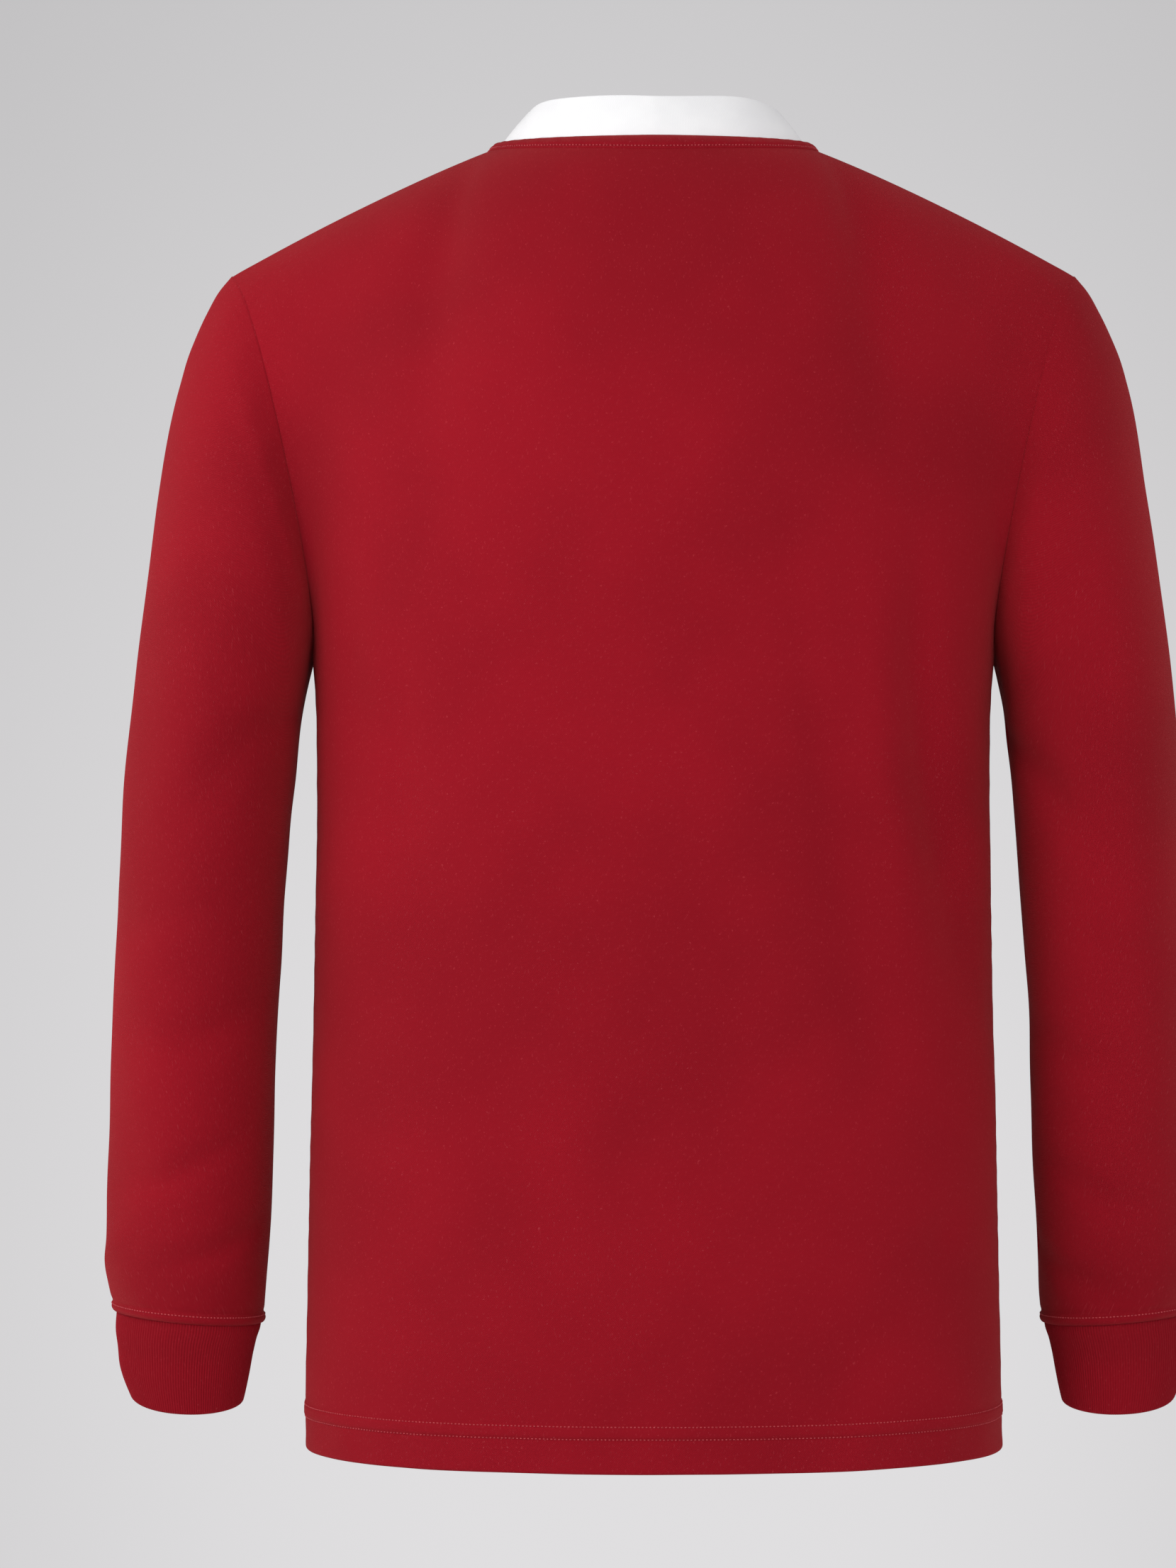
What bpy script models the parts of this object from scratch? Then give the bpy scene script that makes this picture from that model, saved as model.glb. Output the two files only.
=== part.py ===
"""A long-sleeved rugby shirt, filled out as if worn, built from the pieces that it is sewn from.

Metres, +Z up. The front faces -Y and the wearer's left is +X. The origin is midway between the two
side-neck points, where the neck and shoulders of the wearer carry the shirt.

Every cloth piece starts as a surface: rows and columns of points worked out from the sizes below.
Pieces that are sewn together share the points of their seam. close_seams then parts them by GAP and
gives both sides the same normal, and thicken turns each surface into a closed wall.
"""

from collections import namedtuple

import bmesh
import bpy
import numpy as np

# Cloth.
JERSEY = 0.0014  # body and sleeves
HEM_CLOTH = 0.0024  # the turned-up hem, two layers
RIB = 0.0020  # cuffs
TWILL = 0.0022  # collar, two layers
BINDING = 0.0013
PLACKET = 0.0013
GAP = 0.0003  # between pieces at a seam, and between layers

# Levels of the body.
HEM_Z = -0.7312
UNDERARM_Z = -0.2846
HEM_DEPTH = 0.022

# Neck and shoulders.
NECK_HALF_WIDTH = 0.0885
NECK_BACK_Y = 0.0615
NECK_BACK_Z = -0.0030
NECK_FRONT_Y = -0.0830
NECK_FRONT_Z = -0.0780
NECK_SIDE_Z = 0.0005
SHOULDER_X = 0.2378
SHOULDER_SLOPE = 0.395
SHOULDER_SAG = 0.59

# Front opening.
SLIT_ROW = 3  # the row of the upper front where the slit ends
PLACKET_WIDTH = 0.030
BUTTON_DIAMETER = 0.0155
BUTTON_THICKNESS = 0.0030
BUTTON_RIM = 0.0007
BUTTON_SIDES = 18
BUTTON_GAP = 0.0005  # to the placket, which curves away behind a flat button
BUTTON_DROPS = (0.014, 0.062, 0.110)  # along the placket, below the neckline

# Collar and the strip over its foot.
COLLAR_TUCK = 0.004
COLLAR_END_GAP = 0.0008
BINDING_ON_PANEL = 0.0030
BINDING_ON_COLLAR = 0.0034
BINDING_RISE = 0.0011  # where it crosses the thick seams at the side neck

# Mesh density.
HALF_COLUMNS = 12
NECK_COLUMNS = 5
UPPER_SHARES = (0.09, 0.18, 0.27, 0.37, 0.47, 0.57, 0.67, 0.77, 0.87, 0.95, 1.0)
UPPER_ROWS = len(UPPER_SHARES)
SLEEVE_ROWS = 14
LOWER_ROWS = (0.0, 0.05, 0.20, 0.36, 0.52, 0.68, 0.84, 1.0)
NECK_SHARE = NECK_COLUMNS / HALF_COLUMNS

# Roundness of the body's plan: 0.552 is an ellipse and more is squarer.
BACK_SQUARE = 0.63
FRONT_SQUARE = 0.62

Body = namedtuple("Body", "z half_width back front")
BODY = (
    Body(-0.7312, 0.1965, 0.1220, 0.1180),
    Body(-0.6120, 0.1944, 0.1195, 0.1170),
    Body(-0.4580, 0.1910, 0.1160, 0.1160),
    Body(-0.3580, 0.1896, 0.1145, 0.1170),
    Body(-0.3060, 0.1906, 0.1160, 0.1185),
    Body(-0.2846, 0.1924, 0.1170, 0.1190),
)

# Above the underarm each column is one cubic. "up" leaves the underarm row, "over" arrives at the
# neckline, shoulder or armhole end. The last station is the armhole itself.
Lift = namedtuple("Lift", "station up_x up_y up_z over_x over_y over_z")
BACK_LIFT = (
    Lift(0.0, 0.0, 0.016, 0.150, 0.0, 0.024, -0.026),
    Lift(0.42, 0.003, 0.014, 0.145, 0.026, 0.044, -0.0125),
    Lift(0.75, 0.000, 0.030, 0.110, 0.000, 0.054, -0.014),
    Lift(1.0, -0.0110, 0.070, 0.0100, -0.0180, 0.060, -0.0120),
)
FRONT_LIFT = (
    Lift(0.0, 0.0, -0.006, 0.085, 0.0, -0.028, -0.040),
    Lift(0.42, 0.002, -0.010, 0.120, 0.026, -0.040, -0.0125),
    Lift(0.75, -0.002, -0.026, 0.100, 0.000, -0.052, -0.014),
    Lift(1.0, -0.0130, -0.068, 0.0090, -0.0230, -0.060, -0.0120),
)

# The sleeve, down the arm: outer and inner edge as seen from behind, half depth and middle in Y.
Arm = namedtuple("Arm", "down out_x out_z in_x in_z half_depth middle")
SLEEVE = (
    Arm(0.000, 0.2378, -0.0717, 0.1924, -0.2846, 0.0540, 0.000),
    Arm(0.009, 0.2526, -0.0933, 0.1930, -0.2872, 0.0620, 0.000),
    Arm(0.032, 0.2674, -0.1336, 0.1945, -0.2950, 0.0680, 0.000),
    Arm(0.072, 0.2794, -0.1956, 0.1972, -0.3120, 0.0685, 0.000),
    Arm(0.126, 0.2894, -0.2756, 0.2008, -0.3400, 0.0655, 0.001),
    Arm(0.189, 0.2970, -0.3556, 0.2048, -0.3850, 0.0620, 0.002),
    Arm(0.262, 0.3026, -0.4356, 0.2096, -0.4490, 0.0575, 0.001),
    Arm(0.338, 0.3062, -0.5156, 0.2130, -0.5200, 0.0530, -0.004),
    Arm(0.416, 0.3090, -0.5956, 0.2170, -0.5960, 0.0490, -0.012),
    Arm(0.467, 0.3082, -0.6436, 0.2200, -0.6500, 0.0460, -0.018),
    Arm(0.479, 0.3060, -0.6550, 0.2212, -0.6622, 0.0450, -0.019),
)
ARMHOLE_BLEND = 0.13

CUFF = (
    Arm(0.000, 0.3036, -0.6490, 0.2236, -0.6560, 0.0426, -0.0183),
    Arm(0.008, 0.3040, -0.6570, 0.2232, -0.6642, 0.0430, -0.0192),
    Arm(0.020, 0.3048, -0.6680, 0.2262, -0.6740, 0.0415, -0.0205),
    Arm(0.037, 0.3030, -0.6865, 0.2300, -0.6915, 0.0385, -0.0225),
    Arm(0.054, 0.2985, -0.7050, 0.2328, -0.7090, 0.0362, -0.0245),
)
CUFF_BACK_DROP = 0.0055  # how much lower the back of the wrist opening hangs

# The collar's lean from upright and its slant height: 0 is the centre back, 1 the centre front.
Stand = namedtuple("Stand", "around lean height")
STAND = (
    Stand(0.00, 22.0, 0.0302),
    Stand(0.25, 28.0, 0.0310),
    Stand(0.50, 37.0, 0.0276),
    Stand(0.75, 31.0, 0.0275),
    Stand(1.00, 25.0, 0.0285),
)

RED = (0.270, 0.007, 0.016, 1.0)
WHITE = (0.88, 0.88, 0.87, 1.0)
BUTTON_WHITE = (0.80, 0.79, 0.76, 1.0)

Surface = namedtuple("Surface", "name points faces depth material")


def cubic(rows, column, at):
    """The value of a table's column at the given places of its first column, on a smooth curve."""
    keys = np.array([row[0] for row in rows])
    values = np.array([getattr(row, column) for row in rows])
    if keys[0] > keys[-1]:
        keys, values = keys[::-1], values[::-1]
    slopes = np.gradient(values, keys)
    at = np.clip(np.asarray(at, float), keys[0], keys[-1])
    i = np.clip(np.searchsorted(keys, at) - 1, 0, len(keys) - 2)
    width = keys[i + 1] - keys[i]
    t = (at - keys[i]) / width
    start = values[i] * (2 * t**3 - 3 * t**2 + 1) + slopes[i] * width * (t**3 - 2 * t**2 + t)
    end = values[i + 1] * (3 * t**2 - 2 * t**3) + slopes[i + 1] * width * (t**3 - t**2)
    return start + end


def bezier(p0, p1, p2, p3, t):
    t = np.asarray(t)[..., None]
    return (1 - t) ** 3 * p0 + 3 * (1 - t) ** 2 * t * p1 + 3 * (1 - t) * t**2 * p2 + t**3 * p3


def unit(vectors):
    return vectors / np.maximum(np.linalg.norm(vectors, axis=-1, keepdims=True), 1e-12)


def smooth_step(t):
    t = np.clip(t, 0, 1)
    return t * t * (3 - 2 * t)


def body_ring(side, u, z):
    """Below the underarm: side 1 is the back, -1 the front; u is -1 to 1 between the side seams."""
    square = BACK_SQUARE if side > 0 else FRONT_SQUARE
    across = np.abs(u)
    x = 3 * (1 - across) ** 2 * across * square + 3 * (1 - across) * across**2 + across**3
    y = (1 - across) ** 3 + 3 * (1 - across) ** 2 * across + 3 * (1 - across) * across**2 * square
    depth = cubic(BODY, "back" if side > 0 else "front", z)
    return np.stack([np.sign(u) * x * cubic(BODY, "half_width", z), side * y * depth, z + 0 * u], -1)


def top_edge(side, u):
    """The neckline from the centre out to the side-neck point, then the shoulder seam to the armhole."""
    across = np.abs(u)
    turn = np.clip(across / NECK_SHARE, 0, 1) * np.pi / 2
    out = np.clip((across - NECK_SHARE) / (1 - NECK_SHARE), 0, 1) * (SHOULDER_X - NECK_HALF_WIDTH)
    neck_y = NECK_BACK_Y if side > 0 else NECK_FRONT_Y
    neck_z = NECK_BACK_Z if side > 0 else NECK_FRONT_Z
    dip = np.cos(turn) ** (1.0 if side > 0 else 1.5)
    x = NECK_HALF_WIDTH * np.sin(turn) + out
    z = NECK_SIDE_Z + (neck_z - NECK_SIDE_Z) * dip - SHOULDER_SLOPE * out - SHOULDER_SAG * out**2
    return np.stack([np.sign(u) * x, neck_y * np.cos(turn), z], -1)


def lift(rows, end, u):
    """The control arm named by end ("up" or "over") of the columns at u."""
    arm = [cubic(rows, f"{end}_{axis}", np.abs(u)) for axis in "xyz"]
    return np.stack([np.sign(u) * arm[0], arm[1], arm[2]], -1)


def torso(side, u, v):
    """A point of the front or back: v is 0 at the hem, 1 at the underarm and 2 at the top edge."""
    u, v = np.broadcast_arrays(np.asarray(u, float), np.asarray(v, float))
    level = HEM_Z + (UNDERARM_Z - HEM_Z) * np.clip(v, 0, 1)
    low = body_ring(side, u, level)
    rows = BACK_LIFT if side > 0 else FRONT_LIFT
    top = top_edge(side, u)
    high = bezier(low, low + lift(rows, "up", u), top + lift(rows, "over", u), top, np.clip(v - 1, 0, 1))
    return np.where((v > 1)[..., None], high, low)


def arm_ring(rows, down, angle):
    """A ring round the left arm: angle 0 is the side next to the body, a quarter turn the back."""
    outer = np.stack([cubic(rows, "out_x", down), 0 * down, cubic(rows, "out_z", down)], -1)
    inner = np.stack([cubic(rows, "in_x", down), 0 * down, cubic(rows, "in_z", down)], -1)
    depth = np.stack([0 * down, cubic(rows, "half_depth", down), 0 * down], -1)
    middle = (outer + inner) / 2 + np.stack([0 * down, cubic(rows, "middle", down), 0 * down], -1)
    return middle - np.cos(angle)[..., None] * (outer - inner) / 2 + np.sin(angle)[..., None] * depth


def armhole():
    """The left armhole as a loop: up the back from underarm to shoulder, then down the front."""
    rise = panel_rows()[len(LOWER_ROWS) - 1 :]
    back = torso(1, np.ones(len(rise)), rise)
    front = torso(-1, np.ones(len(rise)), rise)
    return np.concatenate([back, front[-2:0:-1]])


def sleeve_angles(loop):
    """Where each point of the armhole lies around the sleeve's first ring."""
    first = SLEEVE[0]
    axis = np.array([first.out_x - first.in_x, 0, first.out_z - first.in_z]) / 2
    middle = np.array([first.out_x + first.in_x, 0, first.out_z + first.in_z]) / 2
    along = (loop - middle) @ axis / (axis @ axis)
    return np.arctan2(loop[:, 1] / first.half_depth, -along) % (2 * np.pi)


def sleeve_points(downs):
    """Rows of rings that start on the armhole itself and end at the cuff seam."""
    loop = armhole()
    start = np.zeros(len(loop))
    angle = sleeve_angles(loop)
    error = loop - arm_ring(SLEEVE, start, angle)
    rows = []
    for down in downs:
        ring = arm_ring(SLEEVE, start + down, angle)
        rows.append(ring + error * (1 - smooth_step(down / ARMHOLE_BLEND)))
    return np.array(rows)


def grid_faces(rows, columns, closed=False):
    """The triangles of a grid of points, cut alike on both sides of the middle column."""
    faces = []
    for i in range(rows - 1):
        for j in range(columns if closed else columns - 1):
            k = (j + 1) % columns
            a, b = i * columns + j, i * columns + k
            c, d = b + columns, a + columns
            if closed or j >= columns // 2:
                faces += [(a, b, c), (a, c, d)]
            else:
                faces += [(a, b, d), (b, c, d)]
    return faces


def turned(faces):
    return [face[::-1] for face in faces]


def mirrored(surface, name):
    points = surface.points * np.array([-1, 1, 1])
    return surface._replace(name=name, points=points, faces=turned(surface.faces))


def panel_rows():
    return np.array(list(LOWER_ROWS) + [1 + share for share in UPPER_SHARES])


def panel_depth(points):
    return np.where(points[:, 2] < HEM_Z + HEM_DEPTH + 0.001, HEM_CLOTH, JERSEY)


def back_surface(cloth):
    v = panel_rows()
    u = np.arange(-HALF_COLUMNS, HALF_COLUMNS + 1) / HALF_COLUMNS
    points = torso(1, u[None, :], v[:, None])
    faces = turned(grid_faces(len(v), len(u)))
    flat = points.reshape(-1, 3)
    return Surface("back", flat, faces, panel_depth(flat), cloth)


def front_surface(cloth):
    """The front panel, slit at the centre from SLIT_ROW of its upper rows to the neckline."""
    v = panel_rows()
    u = np.arange(-HALF_COLUMNS, HALF_COLUMNS + 1) / HALF_COLUMNS
    points = torso(-1, u[None, :], v[:, None]).reshape(-1, 3)
    faces = grid_faces(len(v), len(u))
    first_row = len(LOWER_ROWS) + SLIT_ROW
    middle = [row * len(u) + HALF_COLUMNS for row in range(first_row, len(v))]
    copies = {index: len(points) + order for order, index in enumerate(middle)}
    points[middle, 0] -= GAP / 2
    copied = points[middle] * np.array([-1, 1, 1])
    points = np.concatenate([points, copied])
    slit = []
    for face in faces:
        on_left = points[list(face), 0].sum() > 0
        slit.append(tuple(copies.get(i, i) for i in face) if on_left else face)
    return Surface("front", points, slit, panel_depth(points), cloth)


def sleeve_surface(cloth):
    reach = SLEEVE[-1].down
    downs = reach * (np.arange(SLEEVE_ROWS + 1) / SLEEVE_ROWS) ** 1.25
    rows = sleeve_points(downs)
    faces = grid_faces(len(rows), rows.shape[1], closed=True)
    flat = rows.reshape(-1, 3)
    return Surface("sleeve_left", flat, faces, np.full(len(flat), JERSEY), cloth)


def cuff_surface(cloth):
    angle = sleeve_angles(armhole())
    rows = []
    for station in CUFF:
        ring = arm_ring(CUFF, np.full(len(angle), station.down), angle)
        ring[:, 2] -= CUFF_BACK_DROP * np.sin(angle) * station.down / CUFF[-1].down
        rows.append(ring)
    flat = np.concatenate(rows)
    faces = grid_faces(len(CUFF), len(angle), closed=True)
    return Surface("cuff_left", flat, faces, np.full(len(flat), RIB), cloth)


def upper_points(panel, row):
    """A sewn panel's points and normals in one row from the top, without the slit's far copies."""
    surface, normals = panel
    columns = 2 * HALF_COLUMNS + 1
    first = (len(panel_rows()) - 1 - row) * columns
    return surface.points[first : first + columns], normals[first : first + columns]


def neck_stations(back, front):
    """Along the neckline from the centre front round the back, at the panels' own columns.

    Returns how far round each station is (0 centre back, 1 centre front), the panels' points and
    normals there, and those next below, which at the side neck lie on the shoulder seam."""
    centre, side = HALF_COLUMNS, NECK_COLUMNS
    stations = [(front, centre - k, 1 - k / side / 2) for k in range(side)]
    stations += [(None, centre - side, 0.5)]
    stations += [(back, centre + k, abs(k) / side / 2) for k in range(1 - side, side)]
    stations += [(None, centre + side, 0.5)]
    stations += [(front, centre + k, 1 - k / side / 2) for k in reversed(range(side))]
    around, found = [], []
    for panel, column, share in stations:
        if panel is None:
            beside = column + (1 if column > centre else -1)
            edges = [upper_points(each, 0) for each in (back, front)]
            picked = [sum(edge[i][at] for edge in edges) / 2 for at in (column, beside) for i in (0, 1)]
        else:
            picked = [upper_points(panel, row)[i][column] for row in (0, 1) for i in (0, 1)]
        around.append(share)
        found.append(picked)
    edge, normal, below, below_normal = np.array(found).transpose(1, 0, 2)
    return np.array(around), edge, unit(normal), below, unit(below_normal)


def stand_ways(around, edge, normal):
    """The way the collar rises at each station, leaning in, and its outward normal."""
    tangent = np.gradient(edge, axis=0)
    tangent[[0, -1]] = (1.0, 0.0, 0.0)
    tangent = unit(tangent)
    up = unit(np.array([0.0, 0.0, 1.0]) - tangent[:, 2:] * tangent)
    inward = unit(np.cross(up, tangent))
    inward = np.where((inward * normal).sum(-1, keepdims=True) > 0, -inward, inward)
    lean = np.radians(cubic(STAND, "lean", around))[:, None]
    stand = inward * np.sin(lean) + up * np.cos(lean)
    away = up * np.sin(lean) - inward * np.cos(lean)
    return stand, away


def cut_ends(rows, gap):
    """Shortens a strip at both ends, so that they stop at a distance from the centre front."""
    for end, next_to_end in ((0, 1), (-1, -2)):
        share = gap / np.abs(rows[:, next_to_end, 0:1])
        rows[:, end] += (rows[:, next_to_end] - rows[:, end]) * share
    return rows


def part_way(start, end, distance):
    length = np.linalg.norm(end - start, axis=-1, keepdims=True)
    return start + (end - start) * distance / length


def collar_surface(back, front, cloth):
    """The band: its foot runs down inside the panels, and it stands up and leans in."""
    around, edge, normal, below, below_normal = neck_stations(back, front)
    stand, _ = stand_ways(around, edge, normal)
    inset = JERSEY + GAP
    foot = edge - normal * inset
    height = cubic(STAND, "height", around)[:, None]
    rows = [part_way(foot, below - below_normal * inset, COLLAR_TUCK), foot]
    rows += [foot + stand * height * share for share in (0.34, 0.67, 1.0)]
    flat = cut_ends(np.array(rows), COLLAR_END_GAP).reshape(-1, 3)
    faces = turned(grid_faces(len(rows), len(around)))
    return Surface("collar", flat, faces, np.full(len(flat), TWILL), cloth)


def binding_surface(back, front, cloth):
    """The strip over the collar's foot. Its inner face is the surface, so its depth is negative."""
    around, edge, normal, below, below_normal = neck_stations(back, front)
    stand, away = stand_ways(around, edge, normal)
    rise = GAP + BINDING_RISE * np.clip(1 - np.abs(around - 0.5) / 0.15, 0, 1)[:, None]
    on_panel = edge + normal * rise
    rows = [
        part_way(on_panel, below + below_normal * rise, BINDING_ON_PANEL),
        on_panel,
        edge - normal * (JERSEY + GAP) + stand * BINDING_ON_COLLAR + away * GAP,
    ]
    flat = cut_ends(np.array(rows), PLACKET_WIDTH / 2 + GAP).reshape(-1, 3)
    faces = turned(grid_faces(len(rows), len(around)))
    return Surface("neck_binding", flat, faces, np.full(len(flat), -BINDING), cloth)


def row_below_neck(drop):
    """The row v at a distance down the centre front, measured along the cloth."""
    v = np.linspace(2, 1, 400)
    line = torso(-1, np.zeros(400), v)
    length = np.concatenate([[0], np.cumsum(np.linalg.norm(np.diff(line, axis=0), axis=1))])
    return np.interp(drop, length, v)


def placket_surface(name, front, top, bottom, offset, depth, cloth):
    """A strip down the centre front, made from the front panel's points moved along its normals.

    top and bottom count the panel's rows from the neckline, and may lie between two of them."""
    inner = np.arange(np.floor(top) + 1, np.ceil(bottom))
    lines = []
    for row in np.concatenate([[top], inner, [bottom]])[::-1]:
        upper, lower = (upper_points(front, int(r)) for r in (np.floor(row), np.ceil(row)))
        share = row - np.floor(row)
        ends = [moved[0] + moved[1] * offset for moved in (upper, lower)]
        line = ends[0] * (1 - share) + ends[1] * share
        middle = line[HALF_COLUMNS] * np.array([0.0, 1.0, 1.0])
        beside = line[HALF_COLUMNS + 1]
        left = middle + (beside - middle) * (PLACKET_WIDTH / 2 / beside[0])
        lines.append([left * np.array([-1, 1, 1]), middle, left])
    flat = np.array(lines).reshape(-1, 3)
    faces = grid_faces(len(lines), 3)
    return Surface(name, flat, faces, np.full(len(flat), depth), cloth)


def point_normals(surface):
    faces = np.array(surface.faces)
    a, b, c = (surface.points[faces[:, corner]] for corner in range(3))
    normal = np.zeros_like(surface.points)
    for corner in range(3):
        np.add.at(normal, faces[:, corner], np.cross(b - a, c - a))
    return unit(normal)


def armhole_tangent(sleeve, index):
    around = 2 * UPPER_ROWS
    return unit(sleeve.points[(index + 1) % around] - sleeve.points[(index - 1) % around])


def close_seams(surfaces):
    """Parts the pieces that share seam points by GAP, and gives both sides of a seam one normal.

    Back and front part along Y at the side and shoulder seams. At an armhole the sleeve moves off the
    body, square to the seam and to the shared normal, also where the cloth folds back under the arm."""
    own = [point_normals(surface) for surface in surfaces]
    meeting = {}
    for order, surface in enumerate(surfaces):
        for index, point in enumerate(surface.points):
            meeting.setdefault(tuple(np.round(point, 6)), []).append((order, index))
    moved = [surface.points.copy() for surface in surfaces]
    normals = [normal.copy() for normal in own]
    for places in meeting.values():
        if len({order for order, _ in places}) < 2:
            continue
        body = [place for place in places if place[0] < 2]
        arm = [place for place in places if place[0] > 1]
        shared = sum(unit(sum(own[o][i] for o, i in side)) for side in (body, arm) if side)
        if arm:
            along = armhole_tangent(surfaces[arm[0][0]], arm[0][1])
            shared = unit(shared - (shared @ along) * along)
            off = unit(np.cross(along, shared))
            off *= np.sign(off[0]) * np.sign(surfaces[arm[0][0]].points[0, 0])
        for order, index in places:
            normals[order][index] = unit(shared)
            if arm:
                moved[order][index] += off * (GAP / 2 if order > 1 else -GAP / 2)
            if len(body) == 2 and order < 2:
                moved[order][index][1] += GAP / 2 if order == 0 else -GAP / 2
    return [(surface._replace(points=moved[i]), normals[i]) for i, surface in enumerate(surfaces)]


def thicken(surface, normals):
    """A closed wall: the surface, its copy moved in by depth, and a strip along every free edge.

    The strip's triangles go by height, so that the two sides of a seam are cut alike and don't cross."""
    count = len(surface.points)
    inner = surface.points - normals * surface.depth[:, None]
    used = set()
    for face in surface.faces:
        used.update(zip(face, face[1:] + face[:1]))
    faces = list(surface.faces) + [tuple(count + i for i in face[::-1]) for face in surface.faces]
    for a, b in sorted(used):
        if (b, a) in used:
            continue
        if surface.points[a, 2] > surface.points[b, 2]:
            faces += [(b, a, count + b), (a, count + a, count + b)]
        else:
            faces += [(b, a, count + a), (b, count + a, count + b)]
    if surface.depth[0] < 0:
        faces = turned(faces)
    return np.concatenate([surface.points, inner]), faces


def add_object(name, points, faces, material):
    mesh = bpy.data.meshes.new(name)
    mesh.from_pydata([tuple(point) for point in points], [], faces)
    mesh.materials.append(material)
    mesh.validate()
    mesh.shade_smooth()
    mesh.set_sharp_from_angle(angle=np.radians(50))
    thing = bpy.data.objects.new(name, mesh)
    bpy.context.scene.collection.objects.link(thing)
    return thing


def add_button(name, drop, material):
    """A plain round button with a softened rim, face out on the placket."""
    v = row_below_neck(drop)
    centre = torso(-1, 0.0, v)
    above = torso(-1, 0.0, v + 0.005)
    up = unit(above - centre)
    normal = np.array([0.0, -up[2], up[1]])
    mesh = bpy.data.meshes.new(name)
    shape = bmesh.new()
    radius = BUTTON_DIAMETER / 2
    sides = {"cap_ends": True, "segments": BUTTON_SIDES, "depth": BUTTON_THICKNESS}
    bmesh.ops.create_cone(shape, radius1=radius, radius2=radius, **sides)
    rims = [edge for edge in shape.edges if abs(edge.verts[0].co.z - edge.verts[1].co.z) < 1e-9]
    softened = {"offset": BUTTON_RIM, "segments": 1, "profile": 0.5, "affect": "EDGES"}
    bmesh.ops.bevel(shape, geom=rims, **softened)
    shape.to_mesh(mesh)
    shape.free()
    mesh.materials.append(material)
    mesh.shade_smooth()
    mesh.set_sharp_from_angle(angle=np.radians(40))
    thing = bpy.data.objects.new(name, mesh)
    thing.location = centre + normal * (GAP + PLACKET + BUTTON_GAP + BUTTON_THICKNESS / 2)
    thing.rotation_euler = (np.arctan2(-normal[1], normal[2]), 0.0, 0.0)
    bpy.context.scene.collection.objects.link(thing)
    return thing


def material(name, colour, roughness):
    made = bpy.data.materials.new(name)
    made.use_nodes = True
    shader = made.node_tree.nodes["Principled BSDF"]
    shader.inputs["Base Color"].default_value = colour
    shader.inputs["Roughness"].default_value = roughness
    shader.inputs["Metallic"].default_value = 0.0
    return made


def clear_scene():
    for thing in list(bpy.data.objects):
        bpy.data.objects.remove(thing, do_unlink=True)


def main():
    clear_scene()
    jersey = material("red_jersey", RED, 0.92)
    rib = material("red_rib", RED, 0.95)
    twill = material("white_twill", WHITE, 0.85)
    rubber = material("button_rubber", BUTTON_WHITE, 0.55)
    sleeve = sleeve_surface(jersey)
    other_sleeve = mirrored(sleeve, "sleeve_right")
    sewn = close_seams([back_surface(jersey), front_surface(jersey), sleeve, other_sleeve])
    back, front = sewn[:2]
    cuff = cuff_surface(rib)
    under = -(JERSEY + GAP)
    slit_end = UPPER_ROWS - 1 - SLIT_ROW
    laid = [
        cuff,
        mirrored(cuff, "cuff_right"),
        collar_surface(back, front, twill),
        binding_surface(back, front, jersey),
        placket_surface("placket_upper", front, 0.0, slit_end + 0.6, GAP, -PLACKET, twill),
        placket_surface("placket_under", front, 1.1, slit_end + 0.3, under, PLACKET, twill),
    ]
    for surface, normals in sewn + [(surface, point_normals(surface)) for surface in laid]:
        points, faces = thicken(surface, normals)
        add_object(surface.name, points, faces, surface.material)
    for order, drop in enumerate(BUTTON_DROPS):
        add_button(f"button_{order + 1}", drop, rubber)


main()
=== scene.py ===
"""A red long-sleeved rugby shirt with a white collar band, filled out as if worn and seen from behind.

It runs as a script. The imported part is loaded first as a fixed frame, then one operator for each group
of like pieces sews its cloth on the same curves as the part, and another sets the stage.

Metres, +Z up. The front faces -Y and the wearer's left is +X.
"""

from collections import namedtuple

import bmesh
import bpy
import numpy as np
from bpy.props import FloatProperty, FloatVectorProperty, IntProperty, PointerProperty
from mathutils import Matrix, Vector


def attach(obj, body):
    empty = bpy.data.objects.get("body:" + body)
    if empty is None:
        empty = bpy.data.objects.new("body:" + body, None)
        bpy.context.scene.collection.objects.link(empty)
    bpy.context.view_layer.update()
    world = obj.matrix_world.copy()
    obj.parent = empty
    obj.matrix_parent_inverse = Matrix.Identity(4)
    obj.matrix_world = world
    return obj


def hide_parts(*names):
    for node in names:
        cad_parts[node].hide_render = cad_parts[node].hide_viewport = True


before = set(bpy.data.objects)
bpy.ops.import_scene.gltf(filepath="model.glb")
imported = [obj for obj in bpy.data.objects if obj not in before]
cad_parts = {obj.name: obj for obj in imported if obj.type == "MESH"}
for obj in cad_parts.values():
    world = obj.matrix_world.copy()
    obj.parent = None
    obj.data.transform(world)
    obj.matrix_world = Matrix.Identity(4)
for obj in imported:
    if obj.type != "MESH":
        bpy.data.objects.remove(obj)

bl_info = {
    "name": "Rugby Shirt",
    "version": (1, 0, 0),
    "blender": (4, 5, 0),
    "location": "View3D > Sidebar > Shirt",
    "description": "Sews a long-sleeved rugby shirt around its packed part and sets its stage",
    "category": "Object",
}

GAP = 0.0003  # between two pieces of cloth that lie on each other
SLACK = 0.0002  # between the two layers of a fold
BUNDLE = 24  # stitches made at a time
CREASE_SIZE = 1.5  # deepens every crease alike
BANDS = np.pi / 10  # a wave texture's scale for bands a metre apart

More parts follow.
